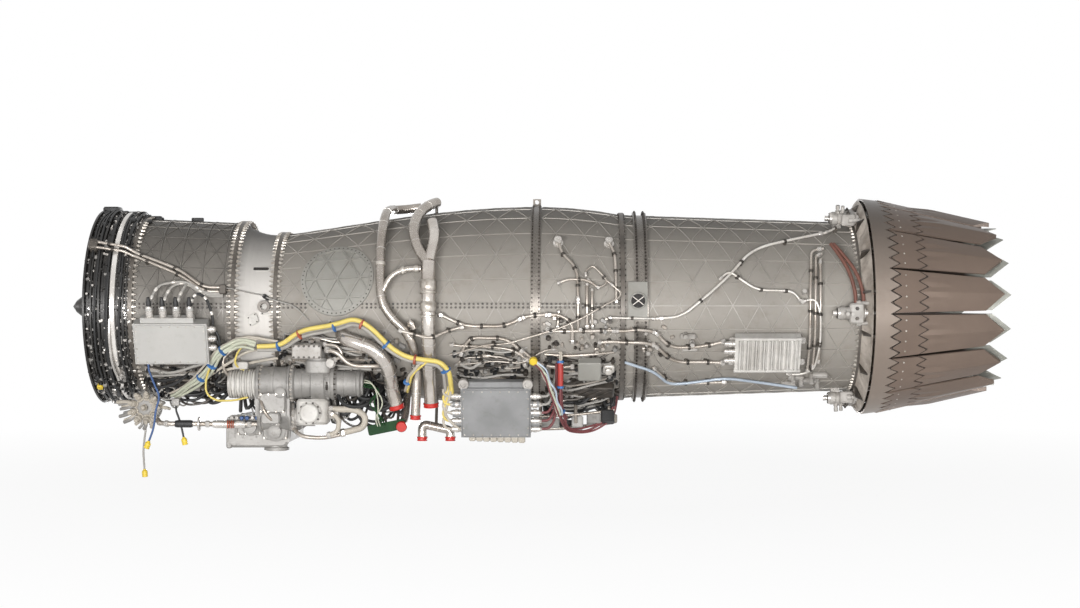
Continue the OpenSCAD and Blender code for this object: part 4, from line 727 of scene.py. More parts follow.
class JET_OT_stage(bpy.types.Operator):
    """Camera, floor, lamps and white background"""
    bl_idname = "jet.stage"
    bl_label = "Stage"

    def execute(self, context):
        scene = context.scene
        scene.view_settings.view_transform = "Standard"
        cam = bpy.data.objects.new("camera", bpy.data.cameras.new("camera"))
        scene.collection.objects.link(cam)
        cam.location = (2.816, -scene.jet_sizes.camera_distance, 0.015)
        cam.rotation_euler = (math.pi / 2, 0, 0)
        cam.data.lens = 62.5
        cam.data.sensor_width = 36
        cam.data.shift_x = -0.0278
        scene.camera = cam
        for name, at, turn, size, power in (
                ("key", (2.4, -13.0, -0.4), (91.5, 0, 0), (9.0, 1.2), 1020),
                ("side", (-2.6, -11.0, -0.1), (90, 0, -25), (1.4, 1.2), 400),
                ("low", (2.8, -6.2, -0.94), (103, 0, 0), (7.5, 0.14), 170),
                ("top", (2.6, -3.0, 6.5), (20, 0, 0), (8.0, 2.0), 3),
                ("back", (2.6, 13.0, -0.2), (90, 0, 180), (9.0, 1.3), 900),
                ("aft", (17.0, 0.6, 0.0), (90, 0, 90), (2.0, 1.2), 260),
                ("fore", (-12.0, 0.6, 0.0), (90, 0, -90), (2.0, 1.2), 260)):
            lamp = bpy.data.lights.new(name, "AREA")
            lamp.shape = "RECTANGLE"
            lamp.size, lamp.size_y = size
            lamp.energy = power
            obj = bpy.data.objects.new(name, lamp)
            obj.visible_camera = False
            obj.location = at
            obj.rotation_euler = [math.radians(a) for a in turn]
            scene.collection.objects.link(obj)
        self.world(scene)
        self.floor()
        return {"FINISHED"}

    def seen(self, tree):
        """One for rays that a viewer sees: straight, mirrored or through glass."""
        path = tree.nodes.new("ShaderNodeLightPath")
        out = path.outputs["Is Camera Ray"]
        for name in ("Is Glossy Ray", "Is Transmission Ray"):
            out = operation(tree, "MAXIMUM", out, path.outputs[name])
        return out

    def world(self, scene):
        world = bpy.data.worlds.new("studio")
        scene.world = world
        world.use_nodes = True
        tree = world.node_tree
        tree.nodes.clear()
        lit, white = (add_node(tree, "ShaderNodeBackground", Color=(1, 1, 1, 1), Strength=v).outputs[0]
            for v in (0.06, 1.0))
        out = tree.nodes.new("ShaderNodeOutputWorld")
        tree.links.new(mix_shaders(tree, self.seen(tree), lit, white), out.inputs[0])

    def floor(self):
        """A pale disc that fades into the white background at its rim."""
        mesh = bpy.data.meshes.new("floor")
        mid, level = 2.6, -1.035
        r = np.linspace(0, 14, 8)[:, None]
        t = np.arange(64) * 2 * np.pi / 64
        pts = np.stack([mid + r * np.cos(t), r * np.sin(t), np.full((8, 64), level)], -1).reshape(-1, 3)
        mesh.from_pydata(pts.tolist(), [], grid_quads(8, 64).tolist())
        obj = bpy.data.objects.new("floor", mesh)
        bpy.context.scene.collection.objects.link(obj)
        mat, tree, shader, coords = new_material("pale_floor")
        tree.links.new(blend_colour(tree, noise(tree, coords, 2.0), rgb(246, 245, 243), rgb(240, 239, 237)),
            shader.inputs["Base Color"])
        shader.inputs["Roughness"].default_value = 0.9
        glow = add_node(tree, "ShaderNodeEmission", Color=(1, 1, 1, 1), Strength=1.0)
        far = length_of(tree, mapped(tree, coords, Location=(-mid, 0, -level)))
        fade = set_range(tree, far, 2.0, 6.0, 0.91, 1.0)
        share = operation(tree, "MULTIPLY", fade, self.seen(tree))
        tree.links.new(mix_shaders(tree, share, shader.outputs[0], glow.outputs[0]),
            tree.nodes["Material Output"].inputs["Surface"])
        mesh.materials.append(mat)


class JET_OT_leads(bpy.types.Operator):
    """The three free leads that hang from the inlet end, each with its yellow cap"""
    bl_idname = "jet.leads"
    bl_label = "Hanging leads"

    def execute(self, context):
        radius = context.scene.jet_sizes.lead_diameter * 500
        box = on_skin(BOX_X, BOX_PHI, 76) - 124 * axes_at(BOX_PHI)[0, 1] - [148, 0, 2.1]
        disc, clip = np.array([310, -325, -690.0]), np.array([505, -400, -580.0])
        steps = {
            "grey": (disc, [(0, 0, -.3), (0, 0, -40), (-8, 0, -95), (-14, -5, -165), (-6, -5, -270)]),
            "blue": (box, [(0, 0, -.5), (0, 0, -42), (36, -12, -129), (72, -16, -201), (46, -18, -277),
                           (35, -14, -382), (6, -12, -459)]),
            "black": (clip, [(0, 0, -.3), (0, 0, -32), (22, -8, -84), (36, -10, -136), (46, -8, -186)]),
        }
        for colour, (start, moves) in steps.items():
            path = rounded(start + np.array(moves, float), 50, 16 if colour == "blue" else 11)
            wire = "black_sleeve" if colour == "black" else colour
            lead = piece("lead_" + colour + "_sleeve", tube(path, radius, 12), wire, slot="lead_" + colour)
            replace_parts(lead, "lead_" + colour)
            axes = axes_along(directions(path)[-1], [0, 1, 0])
            cap = lathe([(8, -1), (9, 3), (13, 8), (17, 12), (17, 30), (16, 31), (16, 36), (17, 37), (17, 43),
                (14, 46)], 20)
            cap = piece("lead_" + colour + "_cap", placed(cap, path[-1:], axes), "yellow_cap")
            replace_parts(cap, "lead_caps")
        return {"FINISHED"}


class JET_OT_finishes(bpy.types.Operator):
    """Finishes of the solid parts"""
    bl_idname = "jet.finishes"
    bl_label = "Finishes of the solids"

    def execute(self, context):
        named = {n: MATS[k] for k, names in NODE_FINISH.items() for n in names.split()}
        petal = self.petal_finish(context.scene.jet_colours)
        for name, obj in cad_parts.items():
            mat = petal if name.startswith("petal_") else named[name]
            for slot in obj.material_slots:
                slot.material = mat
            if not obj.material_slots:
                obj.data.materials.append(mat)
        return {"FINISHED"}

    def petal_finish(self, c):
        """Brown outside and grey green inside: the tone changes where the radius falls below a line
        halfway between the outer and the inner flaps, and ahead of their tips the inner ones take a painted shade,
        dark in the gaps between petals."""
        mat = finish("petal_both_sides", c.petal, shade(c.petal, 0.84), 2.6, 70, (0.38, 0.5), 0.35, 0.06,
            (0.25, 2.2, 2.2), rgb(104, 92, 84), 0.35)
        tree = mat.node_tree
        shader = tree.nodes["Principled BSDF"]
        outside = shader.inputs["Base Color"].links[0].from_socket
        coords = tree.nodes.new("ShaderNodeTexCoord").outputs["Object"]
        parts = tree.nodes.new("ShaderNodeSeparateXYZ")
        tree.links.new(coords, parts.inputs[0])
        flat = tree.nodes.new("ShaderNodeCombineXYZ")
        tree.links.new(parts.outputs[1], flat.inputs[1])
        tree.links.new(parts.outputs[2], flat.inputs[2])
        line = set_range(tree, parts.outputs[0], 4.694, 5.344, 0.532, 0.480)
        below = operation(tree, "LESS_THAN", length_of(tree, flat.outputs[0]), line)
        wear_and_painted_shade = blend_colour(tree, set_range(tree, noise(tree, coords, 8, 5), 0.35, 0.65, 0, 1), tuple(c.inner),
            shade(c.inner, 0.8))
        # Painted shade: ahead of the tips the inner flaps go near black, standing in for the shade in the gaps
        # between petals
        aft = set_range(tree, parts.outputs[0], 5.12, 5.2, 0, 1)
        wear_and_painted_shade = blend_colour(tree, aft, shade(c.petal, 0.22), wear_and_painted_shade)
        tree.links.new(blend_colour(tree, below, outside, wear_and_painted_shade), shader.inputs["Base Color"])
        return mat


class JET_OT_ribs(bpy.types.Operator):
    """The triangular grid of ribs on the fan case and the ducts"""
    bl_idname = "jet.grid_ribs"
    bl_label = "Grid ribs"

    def execute(self, context):
        s = context.scene.jet_sizes
        width, height = s.rib_width * 1000, s.rib_height * 1000
        for name, x0, x1, side, rows, finish_name in (
                ("fan_case_ribs", 290, 832, 128, 28, "fan_rib"),
                ("front_duct_ribs", 1112, 2584, 182, s.rib_rows, "rib"),
                ("rear_duct_ribs", 2650, 3104, 166, s.rib_rows, "rib"),
                ("augmentor_ribs", 3140, 4490, 155, s.rib_rows, "rib")):
            thin = 0.7 if name == "fan_case_ribs" else 1.0
            piece(name, self.grid(x0, x1, side, rows, width * thin, height), finish_name, slot="tan_metal", smooth=25)
        hoops = [ring_turned([(x - 3, r - 1), (x + 3, r - 1), (x + 2.4, r + 6), (x - 2.4, r + 6)])
            for x in (418, 546, 674, 800) for r in [float(skin(x))]]
        piece("fan_case_hoops", hoops, "fan_rib", smooth=25)
        return {"FINISHED"}

    def grid(self, x0, x1, side, rows, width, height):
        """Ribs between the points of a triangular lattice wrapped round the skin: each runs from a
        lattice point along the axis, up and down to its next ones, cut at the flanges and left out
        under the round panel; its section is a low trapezium, closed at both ends."""
        step = 360.0 / rows
        i, j = np.meshgrid(np.arange(-1, int((x1 - x0) / side) + 2), np.arange(rows), indexing="ij")
        x = x0 + (i + 0.5 * (j % 2)) * side
        phi = 0.5 + j * step
        x, phi = x.ravel(), phi.ravel()
        ax, ap = np.tile(x, 3), np.tile(phi, 3)
        bx = np.concatenate([x + side, x + side / 2, x + side / 2])
        bp = np.concatenate([phi, phi + step, phi - step])
        lo = np.clip((x0 - ax) / (bx - ax), 0, 1)
        hi = np.clip((x1 - ax) / (bx - ax), 0, 1)
        keep = hi - lo > 0.02
        ax, ap, bx, bp, lo, hi = (v[keep] for v in (ax, ap, bx, bp, lo, hi))
        cuts = 3
        ends = np.linspace(0, 1, cuts + 1)
        start = lo[:, None] + (hi - lo)[:, None] * ends[:-1]
        stop = lo[:, None] + (hi - lo)[:, None] * ends[1:]
        t = np.stack([start, start, start * 2 / 3 + stop / 3, start / 3 + stop * 2 / 3, stop, stop], -1)
        shrink = np.array([0, 1, 1, 1, 1, 0.0])
        px = ax[:, None, None] + (bx - ax)[:, None, None] * t
        pp = ap[:, None, None] + (bp - ap)[:, None, None] * t
        px, pp = px.reshape(-1, 6), pp.reshape(-1, 6)
        dx = np.repeat(bx - ax, cuts)[:, None]
        dv = np.repeat(np.radians(bp - ap), cuts)[:, None] * skin(px)
        size = np.hypot(dx, dv)
        sx, sv = -dv / size, dx / size
        clear = from_panel(px.mean(1), pp.mean(1)) > 232
        u = np.array([-0.5, -0.34, 0.34, 0.5]) * width
        v = np.array([-2.0, height, height, -2.0])
        qx = px[:, :, None] + sx[..., None] * u * shrink[None, :, None]
        qp = pp[:, :, None] + np.degrees(sv[..., None] * u * shrink[None, :, None] / skin(px)[..., None])
        pts = on_skin(qx, qp, v)[clear]
        quads = grid_quads(6, 4)[None] + (np.arange(len(pts)) * 24)[:, None, None]
        return pts.reshape(-1, 3), quads.reshape(-1, 4)


class JET_OT_studs(bpy.types.Operator):
    """Nuts and studs of the case flanges, the split lines and the bands"""
    bl_idname = "jet.studs"
    bl_label = "Flange studs"

    def execute(self, context):
        r = context.scene.jet_sizes.stud_radius * 1000
        pale, dark, rims = [], [], []
        for x, radius, half, count in ((265, 538, 12, 96), (855, 511, 12, 104), (1091, 444, 12, 92),
                (3122, 562, 12, 96), (4507, 517, 10, 96)):
            phi = np.arange(count) * 360.0 / count
            axes = axes_at(phi)
            for sign in (1, -1):
                face = np.stack([axes[:, 1], axes[:, 2] * sign, axes[:, 0] * sign], 1)
                size, tall = (1.3, 15) if x < 3000 else (1.0, 12) if x > 4000 else (0.8, 5)
                nuts = placed(nut(r * size, tall), polar(x + sign * (half - 0.5), phi, radius), face)
                (dark if x == 3122 else pale).append(nuts)
            rims.append(ring_turned([(x - half - 0.3, radius - 11), (x + half + 0.3, radius - 11),
                (x + half + 0.3, radius + 7.6), (x - half - 0.3, radius + 7.6)], 160))
        piece("flange_nuts", pale, "bolt")
        piece("rear_flange_nuts", dark, "nut")
        piece("flange_rims", rims, "flange", slot="dark_metal", smooth=25)
        lines = []
        for x0, x1 in ((292, 836), (1116, 2580), (2656, 3100)):
            x = np.arange(x0, x1, 26.0)
            for phi in (0.5, 180.5):
                for d in (-1.05, 1.05):
                    keep = x[from_panel(x, phi) > 226]
                    lines.append(seated(nut(r * 0.95, 8), keep, phi + d * MEAN_R / skin(keep), 7.5))
        piece("split_line_nuts", lines, "nut")
        phi = np.arange(0, 360, 2.4)
        band = [placed(nut(5.2, 6), polar(x, phi, 608.6), axes_at(phi)) for x in (2596, 2636)]
        band += [seated(nut(6.5, 7), x, phi, 21.5) for x in (3204, 3256)]
        piece("band_nuts", band, "nut")
        return {"FINISHED"}


class JET_OT_inlet(bpy.types.Operator):
    """Dark rings, bright strip, levers, unions and clips crowded round the inlet case"""
    bl_idname = "jet.inlet"
    bl_label = "Inlet fittings"

    def execute(self, context):
        rings = [ring_turned([(x - w, 548), (x + w, 548), (x + w, r), (x - w, r)], 160)
            for x, w, r in ((26, 6, 564), (44, 5, 572), (66, 9, 566), (108, 6, 561), (206, 6, 563), (226, 7, 560),
            (246, 5, 556))]
        piece("inlet_rings", rings, "inlet", smooth=25)
        strip = ring_turned([(149, 552), (152, 568), (156, 571), (178, 571), (182, 568), (185, 552)], 200)
        piece("inlet_polished_ring", strip, "polished", smooth=30)
        rows = ((8, 551, 110), (20, 551, 120), (34, 551, 96), (54, 552, 72), (78, 551, 64), (106, 556, 60),
            (128, 564, 40), (198, 551, 80), (214, 549, 110), (230, 544, 120), (244, 538, 110), (256, 531, 90))
        shapes = {
            "nuts": nut(9, 11),
            "unions": union(8, 36),
            "blocks": block(26, 18, 20, 2.5, steps=2),
            "stubs": lathe([(8, 0), (8, 8), (5, 10), (5, 24), (7, 25), (7, 30)], 8),
        }
        rng = np.random.default_rng(7)
        for k, (name, shape) in enumerate(shapes.items()):
            tones = {"steel": [], "casting": [], "inlet": []}
            for x, r, count in rows:
                n = count // 4
                phi = (np.arange(n) + 0.25 * k) * 360.0 / n + rng.uniform(-4, 4, n)
                at = polar(x + rng.uniform(-5, 5, n), phi, r - 2 + rng.uniform(0, 3, n))
                spin = rng.choice([0.0, 90.0, 25.0, -15.0], n)
                lying = turned_axes(phi, spin) * rng.uniform(0.55, 1.05, n)[:, None, None]
                if name == "unions":
                    lying = lying[:, [1, 2, 0]]
                    at = at + lying[:, 1] * 8 - lying[:, 2] * 17
                pick = rng.random(n)
                for tone, low, high in (("steel", 0, .34), ("casting", .34, .56), ("inlet", .56, 1)):
                    mask = (pick >= low) & (pick < high)
                    tones[tone].append(placed(shape, at[mask], lying[mask]))
            for tone, parts in tones.items():
                piece("inlet_" + name + "_" + tone, parts, tone,
                    slot="dark_metal" if tone == "inlet" else "bright_metal")
        hoses = [tube(polar(x + 6 * np.sin(np.radians(p * f)), p, r), 6.5, 8, True)
            for x, r, a, b, f in ((132, 574, -80, 140, 3), (196, 572, 20, 150, 4), (140, 578, -120, 20, 3),
            (212, 570, -60, 130, 5), (92, 582, 60, 250, 3), (72, 578, -90, 100, 4), (36, 574, 30, 170, 5),
            (240, 564, 40, 150, 6)) for p in [np.linspace(a, b, 70)]]
        piece("inlet_hoses", hoses, "black")
        rod = rounded([(152, -560, -70), (150, -556, -180), (150, -490, -330), (170, -400, -430)], 60)
        piece("inlet_drive_rod", tube(rod, 9, 10), "steel")
        clumps = [placed(block(96, 130, 58, 9, 16, 3), polar(38, 90, 546), axes_at(90))]
        for x, phi, size, high in ((-2, 78, 40, 34), (20, 112, 46, 40), (120, 84, 60, 30), (150, 98, 70, 34),
                (200, 90, 80, 28), (250, 82, 70, 26), (300, 92, 64, 26), (330, 86, 50, 18), (110, 68, 44, 24),
                (210, 66, 50, 26), (286, 72, 48, 22), (60, 60, 40, 26)):
            base = float(skin(x)) - 2
            clumps.append(placed(block(size, size * 0.8, high, 5, 9, 2), polar(max(x, 22), phi, base), axes_at(phi)))
        clumps.append(seated(block(70, 44, 26, 4, 8, 2), 556, 88, spin=20))
        piece("inlet_top_clumps", clumps, "black")
        cap = lathe([(8, 0), (8, 14), (17, 16), (19, 20), (19, 36), (15, 42)], 18)
        piece("inlet_yellow_cap", placed(cap, polar([44], [-54.5], [551]), axes_at([-54.5])), "yellow_cap")
        self.tubes()
        return {"FINISHED"}

    def tubes(self):
        upper = route([(30, 40, 44), (250, 36, 36), (300, 33.5, 28), (505, 25, 28), (560, 22, 28), (690, 12, 28),
            (800, 12, 28)], bend=60)
        lower = route([(40, 36, 44), (250, 33, 34), (505, 22, 26), (560, 19, 26), (700, 9.5, 26), (800, 9.5, 26)],
            bend=60)
        piece("inlet_tubes", [tube(upper, 9, 10, True), tube(lower, 8, 10, True)], "pipe")
        piece("inlet_tube_clips",
            [collars(upper, (.12, .36, .62, .85), 14, 18, True), collars(lower, (.14, .4, .64, .88), 13, 18, True)],
            "nut")
        ends = [seated(block(52, 70, 56, 5, 10, 2), 36, 38), seated(block(44, 56, 40, 5, 10, 2), 800, 10.8)]
        ends += feet(upper, (.36, .62, .85), 9) + feet(lower, (.4, .64, .88), 8)
        piece("inlet_tube_blocks", ends, "flange")


class JET_OT_front_box(bpy.types.Operator):
    """Connectors, boots, cables and cover details of the front control box"""
    bl_idname = "jet.front_box"
    bl_label = "Front control box"

    def execute(self, context):
        axes = axes_at(BOX_PHI)
        local = own_axes(on_skin(BOX_X, BOX_PHI, 34), axes)
        cover = join(placed(block(414, 236, 12, 5, 12), local(0, 0, 80), axes),
            placed(block(300, 26, 40, 4, 6), local(-18, 137, 18), axes))
        piece("front_box_cover", cover, "box")
        xs = np.linspace(-192, 192, 9)
        edge = np.concatenate([local(xs, 108, 91), local(xs, -108, 91), local(-196, np.linspace(-80, 80, 4), 91),
            local(196, np.linspace(-80, 80, 4), 91)])
        piece("front_box_screws", placed(dome(5, 3.4), edge, axes), "bolt")
        up = axes[:, [0, 2, 1]] * [[[1], [-1], [1]]]
        xs = -213 + 92 + np.arange(4) * 78.0
        piece("front_box_connectors", placed(plug(20, 74), local(xs, 150, 40), up), "steel")
        boots = lathe([(15, 0), (15, 26), (11, 34), (9, 52)], 14)
        piece("front_box_boots", placed(boots, local(xs, 218, 40), up), "black")
        cables = [route([(x, 0, 66), (x + 4, 5, 62), (x + 40, 13, 46), (590 + 6 * k, 16 - k, 34 - 8 * k),
            (700, 8.5 - k, 30), (800, 8.5 - k, 16)], bend=60) for k, x in enumerate(BOX_X + xs[:3])]
        last = route([(BOX_X + xs[3], 0, 66), (634, 5, 66), (664, 8, 66), (716, 5, 64), (752, -6, 60),
            (748, -14, 56)], bend=40)
        side = [route([(724, -14 - 5 * k, 60), (768, -14 - 5 * k, 66), (792, -22 - 6 * k, 72), (770, -32 - 6 * k, 80),
            (742, -40 - 4 * k, 90)], bend=40) for k in range(3)]
        piece("front_box_cables", tubes(cables, 8, 8, True), "grey")
        piece("front_box_side_cables", tubes([*side, last], 8, 8, True), "black_sleeve")
        ties = [collars(c, (.1, .2, .42, .7), 10.5, 22, True) for c in (*cables, last)]
        piece("front_box_ties", ties, "white_tube", slot="harness")
        ports = placed(plug(19, 44), local(213, np.array([76.0, 20, -36]), 44), axes[:, [1, 2, 0]])
        piece("front_box_side_ports", ports, "steel")
        return {"FINISHED"}


class JET_OT_waist(bpy.types.Operator):
    """Slot, drop-shaped covers and connectors of the waisted case"""
    bl_idname = "jet.waist"
    bl_label = "Waist fittings"

    def execute(self, context):
        piece("waist_slot_rim", seated(block(140, 34, 6, 3, 16, 5), 986, 30), "waist")
        # The slot's inside is a dark block: painted shade in the slot
        piece("waist_slot", seated(block(122, 19, 5, 1, 9.4, 5), 986, 30, 2), "gap")
        covers, bolts = [], []
        for x, phi, spin in ((1036, -1.7, 58), (962, -9.7, 66)):
            u = np.array([0, 0.6, 0.9, 1.0, 1.0])[:, None]
            h = np.array([12, 12, 11, 8, -2.0])[:, None]
            t = np.arange(32) * 2 * np.pi / 32
            reach = (np.abs(np.cos(t)) ** 1.3 + np.abs(np.sin(t)) ** 1.3) ** (-1 / 1.3)
            flat = np.stack([u * 42 * reach * np.cos(t), u * 36 * reach * np.sin(t), h * np.ones_like(t)], -1)
            spot = on_skin(x, phi, 1)
            covers.append(placed((flat.reshape(-1, 3), grid_quads(5, 32)), spot, turned_axes(phi, spin)))
            corner = np.array([[33.0, 0, 11], [-33, 0, 11], [0, 27, 11], [0, -27, 11]])
            bolts.append(placed(dome(4.5, 4), spot + corner @ turned_axes(phi, spin)[0], axes_at(phi)))
        piece("waist_covers", covers, "pale_alloy", slot="grey_metal")
        piece("waist_cover_nuts", bolts, "nut")
        at = on_skin([1031, 1046], [7.8, 6.4])
        piece("waist_connectors", placed(plug(11, 40), at, axes_at([7.8, 6.4])), "black")
        line = route([(800, 12, 28), (880, 11, 26), (1031, 7.8, 36)], bend=40)
        more = route([(1046, 6.4, 36), (1110, 4, 34), (1200, 1, 24), (1250, -4, 20), (1285, -9, 10), (1292, -10, -2)],
            bend=30)
        piece("waist_wires", [tube(line, 3.2, 8, True), tube(more, 4.2, 8, True)], "grey")
        return {"FINISHED"}


class JET_OT_panel(bpy.types.Operator):
    """Ribs and rim bolts of the round access panel"""
    bl_idname = "jet.panel"
    bl_label = "Access panel"

    def execute(self, context):
        lines = []
        for turn in (0, 60, 120):
            for off in (-1, 0, 1):
                d = off * 116.0
                half = math.sqrt(186.0 ** 2 - d * d)
                s = np.linspace(-half, half, 24)
                a = math.radians(turn)
                lines.append(self.rib(s * math.cos(a) - d * math.sin(a), s * math.sin(a) + d * math.cos(a), 11))
        t = np.radians(np.linspace(0, 360, 97))
        lines.append(self.rib(190 * np.cos(t), 190 * np.sin(t), 8))
        piece("panel_ribs", lines, "panel", smooth=25)
        t = np.radians(np.arange(0, 360, 7.5))
        x, phi = self.spot(204 * np.cos(t), 204 * np.sin(t))
        piece("panel_bolts", seated(dome(6.5, 5), x, phi, 8), "nut")
        return {"FINISHED"}

    def spot(self, along, round_):
        """Station and angle of a point at distances from the panel's centre."""
        x = PANEL_X + along
        return x, PANEL_PHI + np.degrees(round_ / skin(x))

    def rib(self, along, round_, width):
        """A low trapezium carried along a line on the panel."""
        path = on_skin(*self.spot(along, round_), 8)
        _, b, n = frames(path, True)
        u = np.array([-0.5, -0.36, 0.36, 0.5]) * width
        v = np.array([-3.0, 7, 7, -3.0])
        rows = path[:, None] + u[None, :, None] * b[:, None] + v[None, :, None] * n[:, None]
        ends = [np.broadcast_to(rows[i].mean(0), rows[0].shape)[None] for i in (0, -1)]
        rows = np.concatenate([ends[0], rows, ends[1]])
        return rows.reshape(-1, 3), grid_quads(len(rows), 4)


class JET_OT_bleed(bpy.types.Operator):
    """Large bleed ducts with their weld seams, clamps, fork and red blanking caps"""
    bl_idname = "jet.bleed_ducts"
    bl_label = "Bleed ducts"

    def execute(self, context):
        tall = route([(1905, 98), (1740, 98), (1716, 74), (1712, 40), (1724, 2), (1800, -8), (1905, -16),
            (1925, -38)], 62, 90)
        tall = hung(tall, -10, 254)
        fork = hung(route([(2000, 24), (2002, -10), (1999, -34), (1998, -46)], 68, 90), 4, 110)
        left = route([(2010, 84), (1916, 62), (1895, 46), (1935, 32), (2000, 23)], 68, 90)
        right = route([(2006, 52), (2030, 40), (2004, 25)], 68, 60)
        elbow = route([(1486, -18.6, -2), (1488, -18.6, 60), (1530, -19, 102), (1700, -23, 102), (1772, -34, 102),
            (1772, -50, 102)], bend=95)
        elbow = hung(elbow, 22, 90)
        first = on_skin(1938, -69.4, 191)
        second = on_skin(2105, -70.4, 207)
        low = rounded([first - [0, 0, 74], first, second, second - [0, 0, 37]], 40, 8)
        branch = route([(1732, 8, 62), (1776, 17, 66), (1850, 20.5, 68), (1960, 20.5, 70)], bend=60)
        port = route([(1893, -13, 6), (1893, -10, 62), (1901, -7.5, 74), (1916, -12, 70)], bend=30, step=6)
        wear_and_painted_shade = join(tube(tall, 27, 24, True), tube(left, 31, 24, True), tube(branch, 18, 18, True),
            tube(low, 26, 20, True))
        bright = join(tube(fork, 40, 28, True), tube(right, 31, 24, True), tube(elbow, 41, 28, True),
            tube(port, 17, 16))
        for name, pipes, tone in (("bleed_duct_pipes", wear_and_painted_shade, "duct"),
                ("bleed_duct_bright_pipes", bright, "bright_duct")):
            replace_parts(piece(name, pipes, tone, slot="grey_metal"), "bleed_ducts")
        seams = join(collars(tall, (.1, .2, .3, .42, .58, .66, .74, .84, .93), 28.6, 7, True, 24),
            collars(left, (.18, .36, .55, .75), 32.4, 7, True, 24), collars(right, (.3, .7), 32.4, 7, True, 24),
            collars(elbow, (.45, .56, .66, .82), 42.6, 7, True, 28), collars(fork, (.55, .72), 41.4, 7, True, 28),
            collars(low, (.4, .6), 27.4, 7, True, 20))
        piece("bleed_duct_seams", seams, "steel")
        bands = join(collars(fork, (.16, .3), 47, 62, True, 28), collars(fork, (.21, .36), 50, 14, True, 28),
            collars(elbow, (.3,), 46, 12, True, 28), collars(branch, (.62, .9), 23, 26, True, 18),
            collars(tall, (.475,), 31, 22, True, 24))
        piece("bleed_duct_clamps", bands, "bolt")
        caps = []
        for path, r in ((tall, 33), (fork, 46), (elbow, 47), (low, 32), (low[::-1], 32)):
            cap = turned([(0, 0.3), (r - 2, 0.3), (r, 2), (r, 8), (r - 3, 10), (r - 3, 20), (r - 1, 22), (r - 2, 26),
                (0, 26.3)], 32)
            caps.append(placed(cap, path[-1:], axes_along(directions(path)[-1], [1, 0, 0])))
        red = piece("bleed_duct_caps", caps, "red")
        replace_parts(red, "duct_caps")
        posts = [(1905, 98, 62), (1712, 40, 62), (1905, -16, 62), (2010, 84, 68), (2006, 52, 68), (1999, -34, 68),
            (1530, -19, 102), (1772, -43, 102), (2021, -69.9, 199)]
        legs = [seated(lathe([(17, 0), (17, 5), (9, 8), (9, h - 14)], 12), x, p) for x, p, h in posts]
        piece("bleed_duct_posts", legs, "flange")
        return {"FINISHED"}


